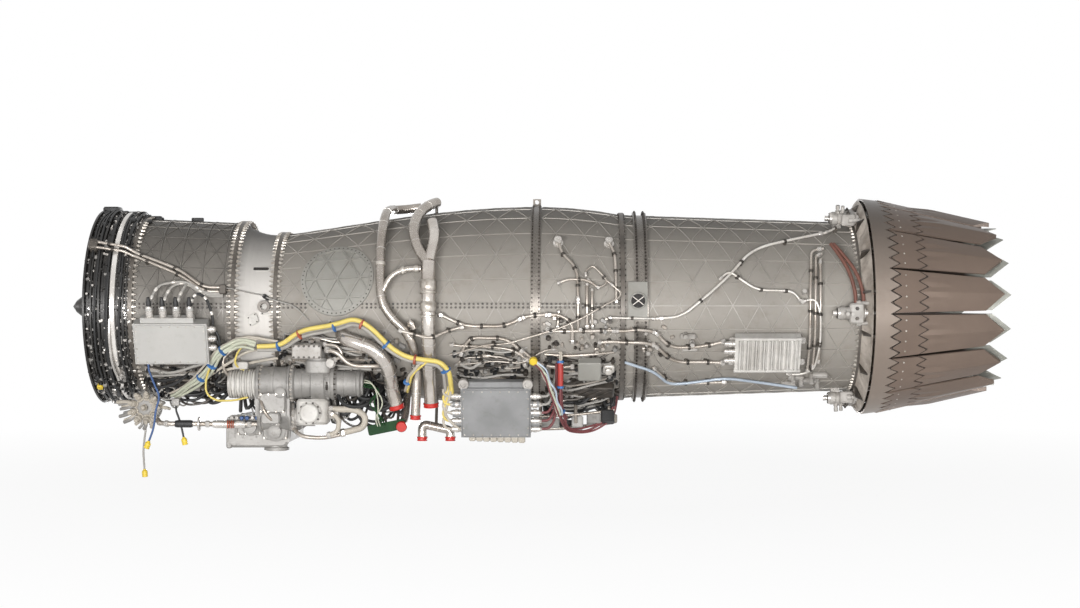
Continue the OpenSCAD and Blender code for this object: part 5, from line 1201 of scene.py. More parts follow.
class JET_OT_harness(bpy.types.Operator):
    """Yellow, grey and green cables of the main harness with their ties and carriers"""
    bl_idname = "jet.harness"
    bl_label = "Main harness"

    def execute(self, context):
        main = route([(998, -24), (1131, -24), (1250, -14), (1461, -10), (1580, -6), (1680, -11), (1790, -21),
            (1880, -25.5), (2071, -27), (2120, -32), (2126, -45)], 124, 90)
        y, g, p = strands(main, [(0, 4), (-30, -6), (-16, -16)], [14, 11, 9], 3, 3, 12)
        yellow = piece("harness_yellow", y, "yellow")
        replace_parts(yellow, "cable_harness")
        piece("harness_grey", [g, p], "grey")
        _, side, normal = frames(main, True)
        middle = main - 13 * side - 4 * normal
        for name, shares in (("tie", (.09, .36, .62, .9)), ("red_tie", (.2, .49, .75))):
            piece("harness_" + name + "s", collars(middle, shares, 31, 15, True, 14), name, slot="harness")
        posts = []
        for s in (.12, .34, .6, .82):
            x, phi, h = stand(main, s)
            posts.append(seated(lathe([(14, 0), (14, 4), (6, 6), (6, h - 8)], 10), x, phi))
        disc = lathe([(95, -6), (95, 6), (88, 10), (88, 40), (80, 46)], 40)
        hub_x, hub_z = 310, -595
        posts.append(placed(disc, [(hub_x, -304, hub_z)], FACING))
        posts.append(placed(block(44, 44, 44, 4), [(505, -400, -582)], UPRIGHT))
        piece("harness_carriers", posts, "casting")
        face = (hub_x, -342, hub_z)
        ports = np.concatenate([bolt_circle(face, 9, 58, FACING), [face]])
        tilt = bolt_circle((0, 0, 0), 9, 0.5, FACING, 0.8)
        tilt = np.concatenate([tilt / np.linalg.norm(tilt, axis=1)[:, None], [(0, -1.0, 0)]])
        piece("carrier_ports", placed(plug(17, 62, 12), ports, axes_along(tilt, [0.3, 0, 1.0])), "hose")
        rng = np.random.default_rng(31)
        n = 26
        spread = np.radians(rng.uniform(150, 390, n))
        reach = rng.uniform(0.7, 1.1, n)
        ends = []
        for k in range(n):
            c, q, far = math.cos(spread[k]), math.sin(spread[k]), reach[k]
            line = [(40 * c, -320, 40 * q), (70 * c, -352, 70 * q), (120 * c * far, -356, 96 * q * far - 10),
                (150 * c * far - 20, -330, 106 * q * far - 19)]
            line = rounded(np.array(line) + [hub_x, 0, hub_z], 30, 8)
            ends.append(tube(line, rng.uniform(7, 12), 8))
        piece("carrier_hose_ends", ends[::2], "hose")
        piece("carrier_dark_ends", ends[1::2], "casting", slot="harness")
        left = route([(985, -24, 118), (905, -21, 112), (790, -25, 100), (726, -36, 96), (640, -46, 90),
            (540, -56, 88), (470, -62, 84)], bend=90)
        pale = strands(left, [(0, 0), (20, 6), (-18, 4), (8, -16), (-28, -10)], [12, 9, 10, 8, 7], 6, 5, 10)
        piece("harness_pale_green", pale[:3], "green")
        piece("harness_pale_hoses", pale[3:], "hose")
        piece("harness_left_ties", collars(left, (.28, .45, .62), 33, 12, True, 14), "tie")
        runs = [route(q, bend=60) for q in (
            [(1120, -22, 110), (1020, -20, 112), (930, -18, 100), (850, -22, 96), (780, -30, 90)],
            [(1060, -30, 70), (980, -29, 76), (880, -31, 84), (800, -36, 84), (700, -44, 80)],
            [(1100, -38, 60), (960, -40, 70), (850, -38, 76), (760, -42, 76)],
            [(960, -22, 92), (890, -26, 98), (860, -34, 100), (900, -42, 90), (960, -46, 84)])]
        piece("waist_hoses", tubes(runs[:3], 9, 10, True), "hose")
        piece("waist_yellow_wire", tube(runs[3], 6, 8, True), "yellow")
        stub = route([(1990, -26.5, 120), (1925, -31, 118), (1870, -40, 112), (1850, -52, 90), (1846, -57, 40),
            (1846, -58, -2)], bend=70)
        pale, gold = strands(stub, [(0, 0), (14, 4)], [9, 7], 3, 9, 8)
        piece("harness_branch", pale, "hose")
        piece("harness_branch_yellow", gold, "yellow")
        piece("harness_branch_tie", collars(stub, (.5,), 22, 12, True, 14), "tie")
        self.loose_wires()
        return {"FINISHED"}

    def loose_wires(self):
        green = rounded([(722, -488, -352), (704, -528, -420), (704, -528, -505), (760, -505, -548),
            (860, -465, -548), (930, -428, -530)], 60)
        piece("harness_lime_wire", tube(green, 6, 8), "yellow")
        link = rounded([(368, -330, -646), (398, -384, -682), (450, -425, -686), (620, -430, -686), (820, -420, -690),
            (1000, -380, -690)], 40)
        piece("link_tube", tube(link, 14, 12), "pipe")
        piece("link_tube_grip", collars(link, (.32, .38), 22, 62, False, 14), "black")
        nuts = join(collars(link, (.2, .55, .9), 20, 24, False, 8), collars(link, (.48,), 40, 14, False, 24),
            collars(link, (.66,), 23, 90, False, 20), collars(link, (.82,), 25, 60, False, 20))
        piece("link_tube_unions", nuts, "steel")
        piece("link_tube_coil", collars(link, (.72, .735, .75, .765), 25, 7, False, 16), "red_tie")


class JET_OT_gearbox(bpy.types.Operator):
    """Flanges, covers, bolts, hoses and pipes of the gearbox, starter, pump and motor"""
    bl_idname = "jet.gearbox"
    bl_label = "Gearbox cluster"

    def execute(self, context):
        rings = [((985, *SHAFT), [(0, 0), (108, 0), (112, 4), (112, 18), (106, 22), (0, 22)]),
            ((1165, *SHAFT), [(0, 0), (104, 0), (110, 4), (110, 14), (104, 18), (0, 18)]),
            ((1068, *SHAFT), [(0, 0), (96, 0), (103, 5), (103, 20), (96, 25), (0, 25)]),
            ((1163, *DRIVE), [(0, 0), (92, 0), (97, 4), (97, 16), (90, 20), (0, 20)]),
            ((985, *DRIVE), [(0, 0), (92, 0), (97, 4), (97, 16), (90, 20), (0, 20)])]
        cast = [placed(turned(p, 48), [o], AFT) for o, p in rings]
        cast += [placed(block(150, 120, 34, 8, 30, 5), [(1085, -468, -560)], FACING),
            placed(block(150, 150, 26, 8, 24, 5), [(1080, -330, -710)], FACING),
            placed(block(150, 96, 26, 8, 24, 5), [(920, -290, -712)], FACING),
            placed(block(190, 120, 40, 10, 20, 4), [(925, -240, -812)], UPRIGHT),
            placed(lathe([(74, 0), (74, 14), (64, 18), (64, 60)], 32), [(1071, -240, -852)], UPRIGHT),
            placed(lathe([(60, 0), (60, 10), (40, 16), (40, 40), (34, 44)], 32), [(1080, -356, -735)], FACING),
            placed(turned([(0, 0), (52, 0), (52, 10), (36, 16), (36, 38), (0, 42)], 32), [(930, -316, -712)], FACING)]
        for x in np.linspace(1000, 1160, 5):
            cast.append(placed(block(8, 190, 16, 2, steps=2), [(x, -462, -545)], FACING))
        for x in (835, 880, 960, 1010, 1120, 1160):
            cast.append(placed(block(9, 110, 18, 2, steps=2), [(x, -292, -722)], FACING))
        cast += [placed(block(230, 60, 40, 6, 14, 3), [(905, -286, -680)], FACING),
            placed(lathe([(48, 0), (48, 12), (42, 16), (42, 90)], 28), [(1010, -340, -560)], FACING),
            placed(lathe([(40, 0), (40, 12), (34, 16), (34, 40), (28, 44)], 28), [(1130, -462, -500)], FACING),
            placed(block(110, 70, 60, 8, 18, 3), [(1075, -452, -650)], FACING)]
        cast += [placed(block(366, 146, 52, 14, 40, 5), [(966, -256, -762)], FACING),
            placed(block(34, 176, 70, 6, 12, 3), [(798, -236, -752)], FACING)]
        piece("gearbox_covers", cast, "casting")
        rail = np.stack([np.linspace(830, 1010, 7), np.full(7, -352.0), np.full(7, -654.0)], -1)
        piece("gearbox_rail", [placed(block(220, 26, 60, 4, 8, 3), [(920, -292, -654)], FACING),
            placed(union(11, 40), rail, FACING)], "alloy")
        piece("gearbox_blue_caps", placed(lathe([(13, 0), (13, 12), (9, 18)], 12), rail[[2, 3, 5, 6]] + [0, -38, 0],
            FACING), "blue")
        bolts = []
        for centre, r, n in (((1003, *SHAFT), 104, 20), ((1183, *SHAFT), 101, 20), ((1183, *DRIVE), 86, 14),
                ((1003, *DRIVE), 86, 14)):
            bolts.append(placed(nut(7.5, 9), bolt_circle(centre, n, r, AFT), AFT))
        for (x, y, z), l, w in (((1085, -502, -560), 130, 100), ((1080, -356, -710), 128, 128),
                ((920, -316, -712), 126, 76)):
            gx, gz = np.meshgrid(np.linspace(-.5, .5, 4) * l, np.array([-.5, .5]) * w)
            bolts.append(placed(nut(7, 8), np.stack([x + gx.ravel(), np.full(8, y + 1.0), z + gz.ravel()], -1),
                FACING))
        piece("gearbox_bolts", bolts, "bolt")
        self.starter()
        self.units()
        self.pipes()
        self.far_side()
        return {"FINISHED"}

    def far_side(self):
        """Covers, bolts and pipes on the gearbox faces that the photo hides."""
        drum = turned([(0, 0), (60, 0), (62, 3), (62, 14), (46, 18), (46, 40), (40, 46), (0, 48)], 32)
        aft = np.array([(1160.0, y, -690.0) for y in (-130, 20, 170)])
        front = np.array([(832.0, y, -710.0) for y in (-130, 20)])
        back = np.array([(1081.0, 249, -660), (921, 169, -710)])
        faces = ((aft, AFT), (front, FORE), (back, AWAY))
        covers = [placed(drum, spots, axes) for spots, axes in faces]
        covers += [placed(block(144, 84, 16, 5, 16, 3), [(1081, 249, -752)], AWAY),
            placed(block(120, 300, 14, 5, 16, 3), [(1080, -60, -812)], UPRIGHT)]
        piece("gearbox_far_covers", covers, "casting")
        bolts = [placed(nut(6, 8), bolt_circle(at, 10, 54, axes, 13), axes) for spots, axes in faces for at in spots]
        piece("gearbox_far_bolts", bolts, "bolt")
        pipes = [rounded([(1200, y, -690), (1256, y, -690), (1290, y + 20, -600), on_skin(1310, phi, -2)], 40)
            for (_, y, _), phi in zip(aft, (-74, -92, -112))]
        pipes += [rounded([(1081, 290, -660), (1081, 330, -640), (1100, 330, -500), on_skin(1120, -126, -2)], 40)]
        piece("gearbox_far_pipes", tubes(pipes, 14, 12), "pipe")
        piece("gearbox_far_unions", [collars(q, (.06, .93), 21, 26, False, 6) for q in pipes], "steel")

    def starter(self):
        o = (1181, *SHAFT)
        body = turned([(0, 0), (96, 0), (100, 4), (100, 20), (94, 24), (88, 30), (88, 60), (91, 62), (91, 70),
            (88, 72), (88, 150), (91, 152), (91, 160), (88, 162), (88, 235), (95, 238), (97, 242), (97, 256),
            (92, 260), (84, 266), (76, 276), (76, 300), (80, 302), (80, 312), (76, 314), (76, 384), (82, 388),
            (84, 392), (84, 404), (78, 410), (64, 420), (30, 428), (0, 429)], 48)
        fins = bolt_circle(o, 24, 88, AFT, 170)
        out = bolt_circle((0, 0, 0), 24, 1, AFT)
        along = np.broadcast_to([1.0, 0, 0], out.shape)
        axes = np.stack([along, np.cross(out, along), out], 1)
        band = lathe([(99, 0), (104, 5), (104, 76), (99, 82)], 48)
        saddle = [placed(band, [(1304, *SHAFT)], AFT), placed(block(150, 112, 96, 16, 40, 5), [(1345, -430, -400)],
            UPRIGHT), placed(lathe([(50, 0), (50, 14), (42, 20), (42, 60)], 28), [(1345, -446, -314)], UPRIGHT)]
        piece("starter_body", [placed(body, [o], AFT), placed(block(110, 6, 7, 1.5, steps=2), fins, axes), *saddle],
            "casting")
        top = join(placed(block(170, 84, 40, 6, 12, 4), [(1290, -512, -262)], FACING),
            placed(lathe([(30, 0), (30, 16), (24, 20), (24, 50)], 24), [(1420, -452, -330)], FACING))
        piece("starter_valve", top, "alloy")
        gx, gz = np.meshgrid(np.linspace(-74, 74, 6), (-32.0, 32.0))
        spots = np.stack([1290 + gx.ravel(), np.full(12, -551.0), -262 + gz.ravel()], -1)
        ring = bolt_circle((1438, *SHAFT), 18, 90, AFT)
        piece("starter_bolts", [placed(nut(7, 8), spots, FACING), placed(nut(6, 8), ring, AFT)], "nut")

    def units(self):
        pump = join(placed(block(190, 140, 150, 14, 40, 5), [(1310, -400, -690)], UPRIGHT),
            placed(turned([(0, 0), (66, 0), (66, 14), (56, 20), (56, 44), (48, 52), (0, 54)], 36),
            [(1300, -470, -620)], FACING),
            placed(lathe([(40, 0), (40, 30), (34, 36), (34, 60)], 24), [(1400, -400, -620)], AFT))
        piece("oil_pump_cover", pump, "pale_alloy")
        spots = bolt_circle((1300, -483, -620), 10, 60, FACING)
        piece("oil_pump_bolts", placed(nut(6.5, 8), spots, FACING), "nut")
        prof = [(0, 0)]
        for a in range(0, 150, 15):
            prof += [(73, a), (73, a + 6), (86, a + 7), (86, a + 12)]
        prof += [(76, 152), (70, 160), (40, 168), (0, 170)]
        back = np.array([[[0, 1.0, 0], [0, 0, 1.0], [-1.0, 0, 0]]])
        motor = placed(turned(prof, 40), [(981, *SHAFT)], back)
        box = placed(block(90, 60, 44, 6, 12, 4), [(890, -430, -366)], UPRIGHT)
        piece("motor_fins", [(motor[0], motor[1][:, ::-1]), box], "pale_alloy")

    def pipes(self):
        u_hose = rounded([(1400, -420, -600), (1560, -430, -602), (1622, -432, -640), (1610, -430, -708),
            (1470, -420, -742)], 70)
        loop = rounded([(1416, -470, -620), (1470, -480, -650), (1466, -478, -730), (1400, -460, -752)], 60)
        piece("gearbox_hoses", [tube(u_hose, 19, 14), tube(loop, 14, 12)], "hose")
        pipes = [(rounded(points, bend), r) for r, bend, points in (
            (13, 60, [(1390, -500, -250), (1462, -520, -262), (1540, -520, -346), (1690, -500, -346),
                      (1760, -470, -340)]),
            (9, 45, [(1380, -490, -220), (1468, -510, -226), (1500, -510, -290), (1440, -490, -310)]),
            (12, 60, [(1180, -380, -700), (1240, -440, -760), (1380, -440, -770), (1500, -420, -742)]),
            (9, 60, [(840, -430, -420), (800, -470, -380), (790, -480, -300), (850, -470, -250),
                     (960, -460, -230)]),
            (9, 50, [(1010, -470, -520), (1030, -520, -580), (1060, -520, -640), (1120, -480, -690)]))]
        piece("gearbox_pipes", [tube(p, r, 12) for p, r in pipes], "pipe")
        nuts = join(*[collars(p, (.04, .96), r + 8, 28, False, 6) for p, r in pipes + [(u_hose, 16), (loop, 12)]])
        piece("gearbox_unions", nuts, "steel")
        wires = [rounded([(1598, -412 - 8 * k, -430 - 12 * k), (1650 + 24 * k, -462, -434 - 16 * k),
            (1736 - 34 * k, -480, -560), (1676 + 14 * k, -450, -650), (1692 + 14 * k, -420, -706 + 2 * k)], 50)
            for k in range(4)]
        piece("gearbox_wires", tubes(wires[:2], 4, 8), "green")
        piece("gearbox_green_wires", tubes(wires[2:], 4, 8), "green_plate")
        tilt = np.array([[[0.98, 0, 0.2], [-0.2, 0, 0.98], [0, -1, 0]]])
        plate = placed(block(224, 60, 8, 2, 10), [(1743, -418, -706)], tilt)
        straps = [tube(np.array([on_skin(x, -60, -2), (x, -412.0, z)]), 8, 8)
            for x, z in ((1680, -712), (1806, -690))]
        piece("gearbox_plate_straps", straps, "nut")
        stub = rounded([on_skin(1850, -64, -2), (1846, -330, -640), (1832, -380, -690), (1832, -440, -700)], 40, 10)
        piece("capped_stub", tube(stub, 22, 18), "duct")
        cap = lathe([(29, -4), (32, 0), (32, 16), (28, 22)], 28)
        piece("capped_stub_cap", placed(cap, stub[-1:], axes_along(directions(stub)[-1], [1, 0, 0])), "red")
        piece("gearbox_green_plate", plate, "green_plate", slot="box_paint")


class JET_OT_tubes(bpy.types.Operator):
    """Fluid tubes along the ducts, with unions, clips and brackets"""
    bl_idname = "jet.tubes"
    bl_label = "Fluid tubes"

    def execute(self, context):
        fore = [([(2060, -4), (2205, -10.7), (2440, -10.4), (2540, -6)], 10),
            ([(2180, -28), (2230, -17), (2440, -17), (2530, -23), (2560, -34)], 10),
            ([(2690, -4.3), (2760, -4.3), (2830, -9), (2830, -20)], 10),
            ([(2690, -13), (2972, -13.4), (3080, -13.6)], 10), ([(2750, 38), (2765, 30), (2857, 21), (2863, 3)], 8),
            ([(3040, 40), (3078, 31), (3084, 2)], 8)]
        aft = [([(3310, -15), (3397, -25), (3590, -24.4), (3720, -21)], 10),
            ([(3310, -23), (3423, -35), (3590, -35), (3720, -36)], 10),
            ([(3300, -38), (3390, -50), (3470, -53.4), (3740, -53)], 8),
            ([(3310, -7), (3460, -6), (3650, 10), (3760, 21), (3850, 33), (3940, 39.5), (4060, 44), (4330, 54)], 8),
            ([(3680, 16), (3740, 22), (3810, 16), (3900, 10), (4110, 9.5), (4160, 2)], 7)]
        aft += [([(4300 - 12 * k, 39 - 4.2 * k), (4226 + 24 * k, 37 - 4.2 * k), (4208 + 30 * k, 8),
            (4208 + 30 * k, -46 + 4 * k)], 8) for k in range(3)]
        extra = [([(1832, -12, 110), (2019, -16, 112), (2100, -13, 60), (2205, -10.7, 40)], 9),
            ([(2540, -6, 28), (2600, -4.5, 30), (2690, -4.3, 28)], 10),
            ([(2530, -23, 28), (2640, -32, 34), (2740, -34, 34), (2840, -34, 30)], 10),
            ([(2120, -21.5, 20), (2169, -21.8, 30), (2336, -21.8, 30), (2487, -23, 34), (2579, -29.8, 36)], 8),
            ([(2863, 3, 28), (2862, -7.3, 28), (2864, -14, 20)], 8),
            ([(2744, 12.4, 14), (2799, 14.6, 30), (2920, 14.6, 32), (2984, 10, 20)], 8),
            ([(2914, 13, 14), (2914, 10, 26), (2914, -4.6, 26), (2914, -12, 20)], 9),
            ([(2943, 10, 14), (2943, 8, 26), (2943, -1, 26), (2946, -12, 22)], 7),
            ([(2752, -1.9, 20), (2748, -6, 26), (2744, -11.4, 30)], 7),
            ([(3080, -13.6, 28), (3120, -14, 42), (3200, -13, 46), (3250, -13.5, 40), (3310, -15, 28)], 10),
            ([(2975, -20, 26), (3076, -20, 34), (3130, -20.5, 44), (3240, -20.7, 44), (3310, -23, 28)], 10)]
        thin = [([(2117, -27.7, 30), (2319, -20.4, 46), (2449, -19.5, 48), (2770, -10.6, 50), (2882, -6.2, 50),
            (3100, 5, 46), (3112, 7.6, 44), (3030, 14.4, 30)], 7),
            ([(2908, 16.6, 24), (2903, 19.5, 26), (2946, 23, 28), (2972, 21, 28), (3039, 13.9, 28), (2984, 10, 26),
            (2915, 15.2, 24)], 7), ([(3039, -6.2, 24), (3120, -6.4, 42), (3242, -6.6, 44), (3310, -7, 28)], 8),
            ([(2174, -34, 24), (2377, -29.8, 40), (2533, -30.8, 44), (2671, -23, 44), (2735, -23, 30)], 6),
            ([(2146, -35, 22), (2200, -29, 32), (2394, -27, 34), (2480, -30, 24)], 6),
            ([(4154, 3, 28), (4240, 5, 32), (4268, -5, 34), (4270, -23, 34), (4246, -42, 34), (4180, -47, 30),
            (4090, -48, 16)], 8), ([(4326, 54, 28), (4380, 58, 30), (4416, 64, 36), (4432, 67, 40)], 8)]
        pale, steel = [], []
        for points, r in fore:
            steel.append((route(points, 28), r))
        for points, r in extra:
            steel.append((route(points, bend=60), r))
        for k, (points, r) in enumerate(thin):
            (pale if k in (2, 5, 6) else steel).append((route(points, bend=40), r * 0.8))
        for k, (points, r) in enumerate(aft):
            (pale if k in (3, 4) else steel).append((route(points, 28), r))
        first = piece("fluid_tube_runs", [tube(p, r, 10, True) for p, r in steel], "pipe")
        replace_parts(first, "fluid_tubes", "aft_tubes")
        piece("pale_tube_runs", [tube(p, r, 10, True) for p, r in pale], "white_tube")
        unions = [collars(p, (.03, .97), r * 1.7, 26, True, 6) for p, r in steel + pale]
        piece("tube_unions", unions, "steel")
        clips, posts = [], []
        for p, r in steel + pale:
            shares = (.24, .52, .78) if len(p) > 26 else (.5,)
            clips.append(collars(p, shares, r * 1.65, 16, True, 10))
            posts += feet(p, shares, r)
        piece("tube_clips", clips, "nut")
        piece("tube_brackets", posts, "flange")
        foot = lathe([(30, 0), (30, 9), (17, 11), (17, 34), (22, 36), (22, 44)], 20)
        spots = on_skin([2746, 3044], [38, 40])
        piece("tube_flanges", placed(foot, spots, axes_at([38, 40])), "steel")
        valve = join(seated(block(70, 56, 44, 6, 14, 3), 3040, -37.5),
            seated(turned([(0, 0), (22, 0), (22, 20), (16, 26), (0, 28)], 18), 3040, -37.5, 42))
        piece("pale_valve", valve, "white_tube")
        blue = route([(3135, -32, 60), (3310, -40, 44), (3400, -52, 40), (3500, -52, 36), (3740, -48, 34),
            (3990, -55, 34), (4160, -60, 40)], bend=80)
        piece("blue_tube_run", tube(blue, 9, 10, True), "blue_tube")
        hoses = [route([(4345 + 15 * k, 42, 40), (4385 + 25 * k, 33, 44), (4440 + 40 * k, 21, 48),
            (4467 + 46 * k, 8, 54), (4467 + 46 * k, 1, 56)], bend=80) for k in range(2)]
        piece("actuator_hoses", tubes(hoses, 11, 10, True), "brown_hose")
        return {"FINISHED"}


class JET_OT_rear_box(bpy.types.Operator):
    """Cover, lugs, connectors and cables of the rear control box"""
    bl_idname = "jet.rear_box"
    bl_label = "Rear control box"

    def execute(self, context):
        base = axes_at(-52)[0]
        a = math.radians(-36)
        y = math.cos(a) * base[1] + math.sin(a) * base[2]
        z = -math.sin(a) * base[1] + math.cos(a) * base[2]
        axes = np.stack([base[0], y, z])[None]
        local = own_axes(polar(2385, -52, 768), axes)
        cover = join(placed(block(393, 288, 12, 5, 10), local(0, 0, 45), axes),
            placed(block(330, 44, 60, 5, 8), local(0, 160, -34), axes))
        piece("rear_box_cover", cover, "rear_box")
        eye = lathe([(31, 0), (31, 20), (27, 25), (17, 25), (15, 18)], 28)
        lugs = join(placed(block(40, 70, 24, 4, 10), local(np.array([-186.0, 186]), 166, 4), axes),
            placed(eye, local(np.array([-186.0, 186]), 172, 22), axes))
        piece("rear_box_lugs", lugs, "alloy")
        xs = np.linspace(-182, 182, 8)
        edge = np.concatenate([local(xs, 132, 56), local(xs, -132, 56), local(-188, np.linspace(-90, 90, 4), 56),
            local(188, np.linspace(-90, 90, 4), 56)])
        piece("rear_box_screws", placed(dome(5, 3.4), edge, axes), "bolt")
        ys = np.array([-112.0, -62, -12, 38, 88])
        right = axes[:, [1, 2, 0]]
        left = axes[:, [2, 1, 0]] * [[[1], [1], [-1]]]
        ports = join(placed(plug(18, 66), local(200, ys, 6), right), placed(plug(18, 66), local(-200, ys, 6), left))
        piece("rear_box_connectors", ports, "steel")
        groups = {"maroon": [], "grey": [], "yellow": [], "hose": []}
        for k, v in enumerate(ys):
            s = local(266, v, 6)[0]
            groups["maroon" if k < 3 else "grey"].append(
                rounded([s, s + [40, 0, 2], s + [70, 6, 40 + 8 * k], s + [84, 20, 120 + 6 * k],
                         (2738 + 7 * k, -548, -330 + 12 * k)], 50))
            s = local(-266, v, 6)[0]
            groups["yellow" if k % 2 else "hose"].append(
                rounded([s, s + [-30, 0, 4], s + [-46, 6, 40], (2128 - 6 * k, -520 + 6 * k, -480),
                         (2126 - 5 * k, -512, -440)], 36))
        groups["hose"].append(rounded([(2080, -470, -560), (2090, -480, -640), (2170, -470, -720), (2290, -440, -748),
            (2350, -400, -745)], 70))
        for tone, paths in groups.items():
            piece("rear_box_cables_" + tone, tubes(paths, 8, 8), tone, slot="harness")
        wrap = rounded([(2758, -566, -262), (2762, -572, -360), (2760, -560, -480), (2762, -520, -600),
            (2790, -430, -660)], 70)
        top, low = int(0.14 * len(wrap)), int(0.46 * len(wrap))
        piece("red_wrapped_harness", tube(wrap[top:low], 17, 12), "red_wrap")
        for name, part, tone in (("upper", wrap[:top + 2], "hose"), ("lower", wrap[low - 2:], "maroon")):
            loose = strands(part, [(0, 0), (10, 4), (-10, 4)], [8, 7, 7], 3, 8, 8, False)
            piece("red_harness_" + name, loose, tone, slot="harness")
        piece("red_harness_ties", collars(wrap, (.13, .45, .8), 21, 14, False, 12), "tie")
        fans = strands(rounded([(2605, -590, -312), (2650, -592, -350), (2700, -580, -450), (2738, -556, -560),
            (2756, -520, -630)], 60), [(0, 0), (14, 4), (-14, 4), (6, -10)], [7, 6, 6, 5], 5, 12, 8, False)
        for k, tone in enumerate(("green", "hose", "blue_tube", "maroon")):
            piece("aft_box_strand_" + tone, fans[k], tone, slot="harness")
        knob = lathe([(20, 0), (24, 4), (24, 24), (18, 30)], 20)
        stalk = lathe([(9, -58), (9, 2)], 12)
        piece("aft_box_cap", seated(join(knob, stalk), 2605, -28, 56), "yellow_cap")
        foot = block(40, 60, 26, 4, 8, 2)
        row = local(np.linspace(-140, 150, 8), -158, np.linspace(-16, 16, 8))
        piece("rear_box_lower_fittings", placed(foot, row, axes), "hose")
        self.lower_rail()
        small = join(seated(block(136, 128, 60, 6, 12), 2930, -34.6, 30),
            seated(lathe([(9, 0), (9, 40)], 10), [2880, 2980], [-31, -38]))
        piece("small_grey_box", small, "panel", slot="box_paint")
        base = on_skin(2956, -56)
        lid = base + 41 * axes_at(-56)[0, 2]
        cover = [placed(block(236, 110, 42, 6, 14, 3), base, axes_at(-56))]
        cover += [placed(block(110, 6, 5, 1, steps=2), lid + off * axes_at(-56)[0, 0], turned_axes(-56, 35))
            for off in (-60, 0, 60)]
        piece("dark_housing", cover, "nut")
        return {"FINISHED"}

    def lower_rail(self):
        """A rail under the belly behind the rear box, on posts from the skin, with units hung on it."""
        x = np.array([2600.0, 2740, 2880, 3020, 3080])
        path = rounded(on_skin(x, -70, 96), 40)
        low = rounded(on_skin(x, -78, 150), 40)
        posts = [seated(block(20, 16, 150, 2, 4, 2), v, phi) for v in (2640, 2850, 3050) for phi in (-70, -78)]
        piece("lower_rail", [tube(path, 9, 10), tube(low, 11, 10), *posts], "pipe")
        units = [(2700, -74, 110, 60, 52, "box"), (2860, -74, 70, 90, 70, "box"), (2960, -72, 90, 60, 60, "casting"),
            (3040, -70, 80, 80, 70, "black"), (2790, -80, 80, 40, 40, "black"), (3070, -80, 60, 60, 50, "hose"),
            (2620, -80, 90, 60, 46, "black")]
        for tone in ("box", "casting", "black", "hose"):
            parts = [seated(block(a, b, c, 6, 14, 3), v, phi, 100) for v, phi, a, b, c, t in units if t == tone]
            piece("lower_units_" + tone, parts, tone, slot="grey_metal")
        wire = rounded([on_skin(2716, -52, -2), (2764, -430, -640), (2800, -330, -730), (2880, -260, -742),
            (2980, -240, -716), (3070, -230, -660), on_skin(3088, -68, -2)], 60)
        piece("lower_rail_wires", strands(wire, [(0, 0), (12, 3), (-11, 3)], [7, 6, 6], 4, 4, 8, False), "maroon")


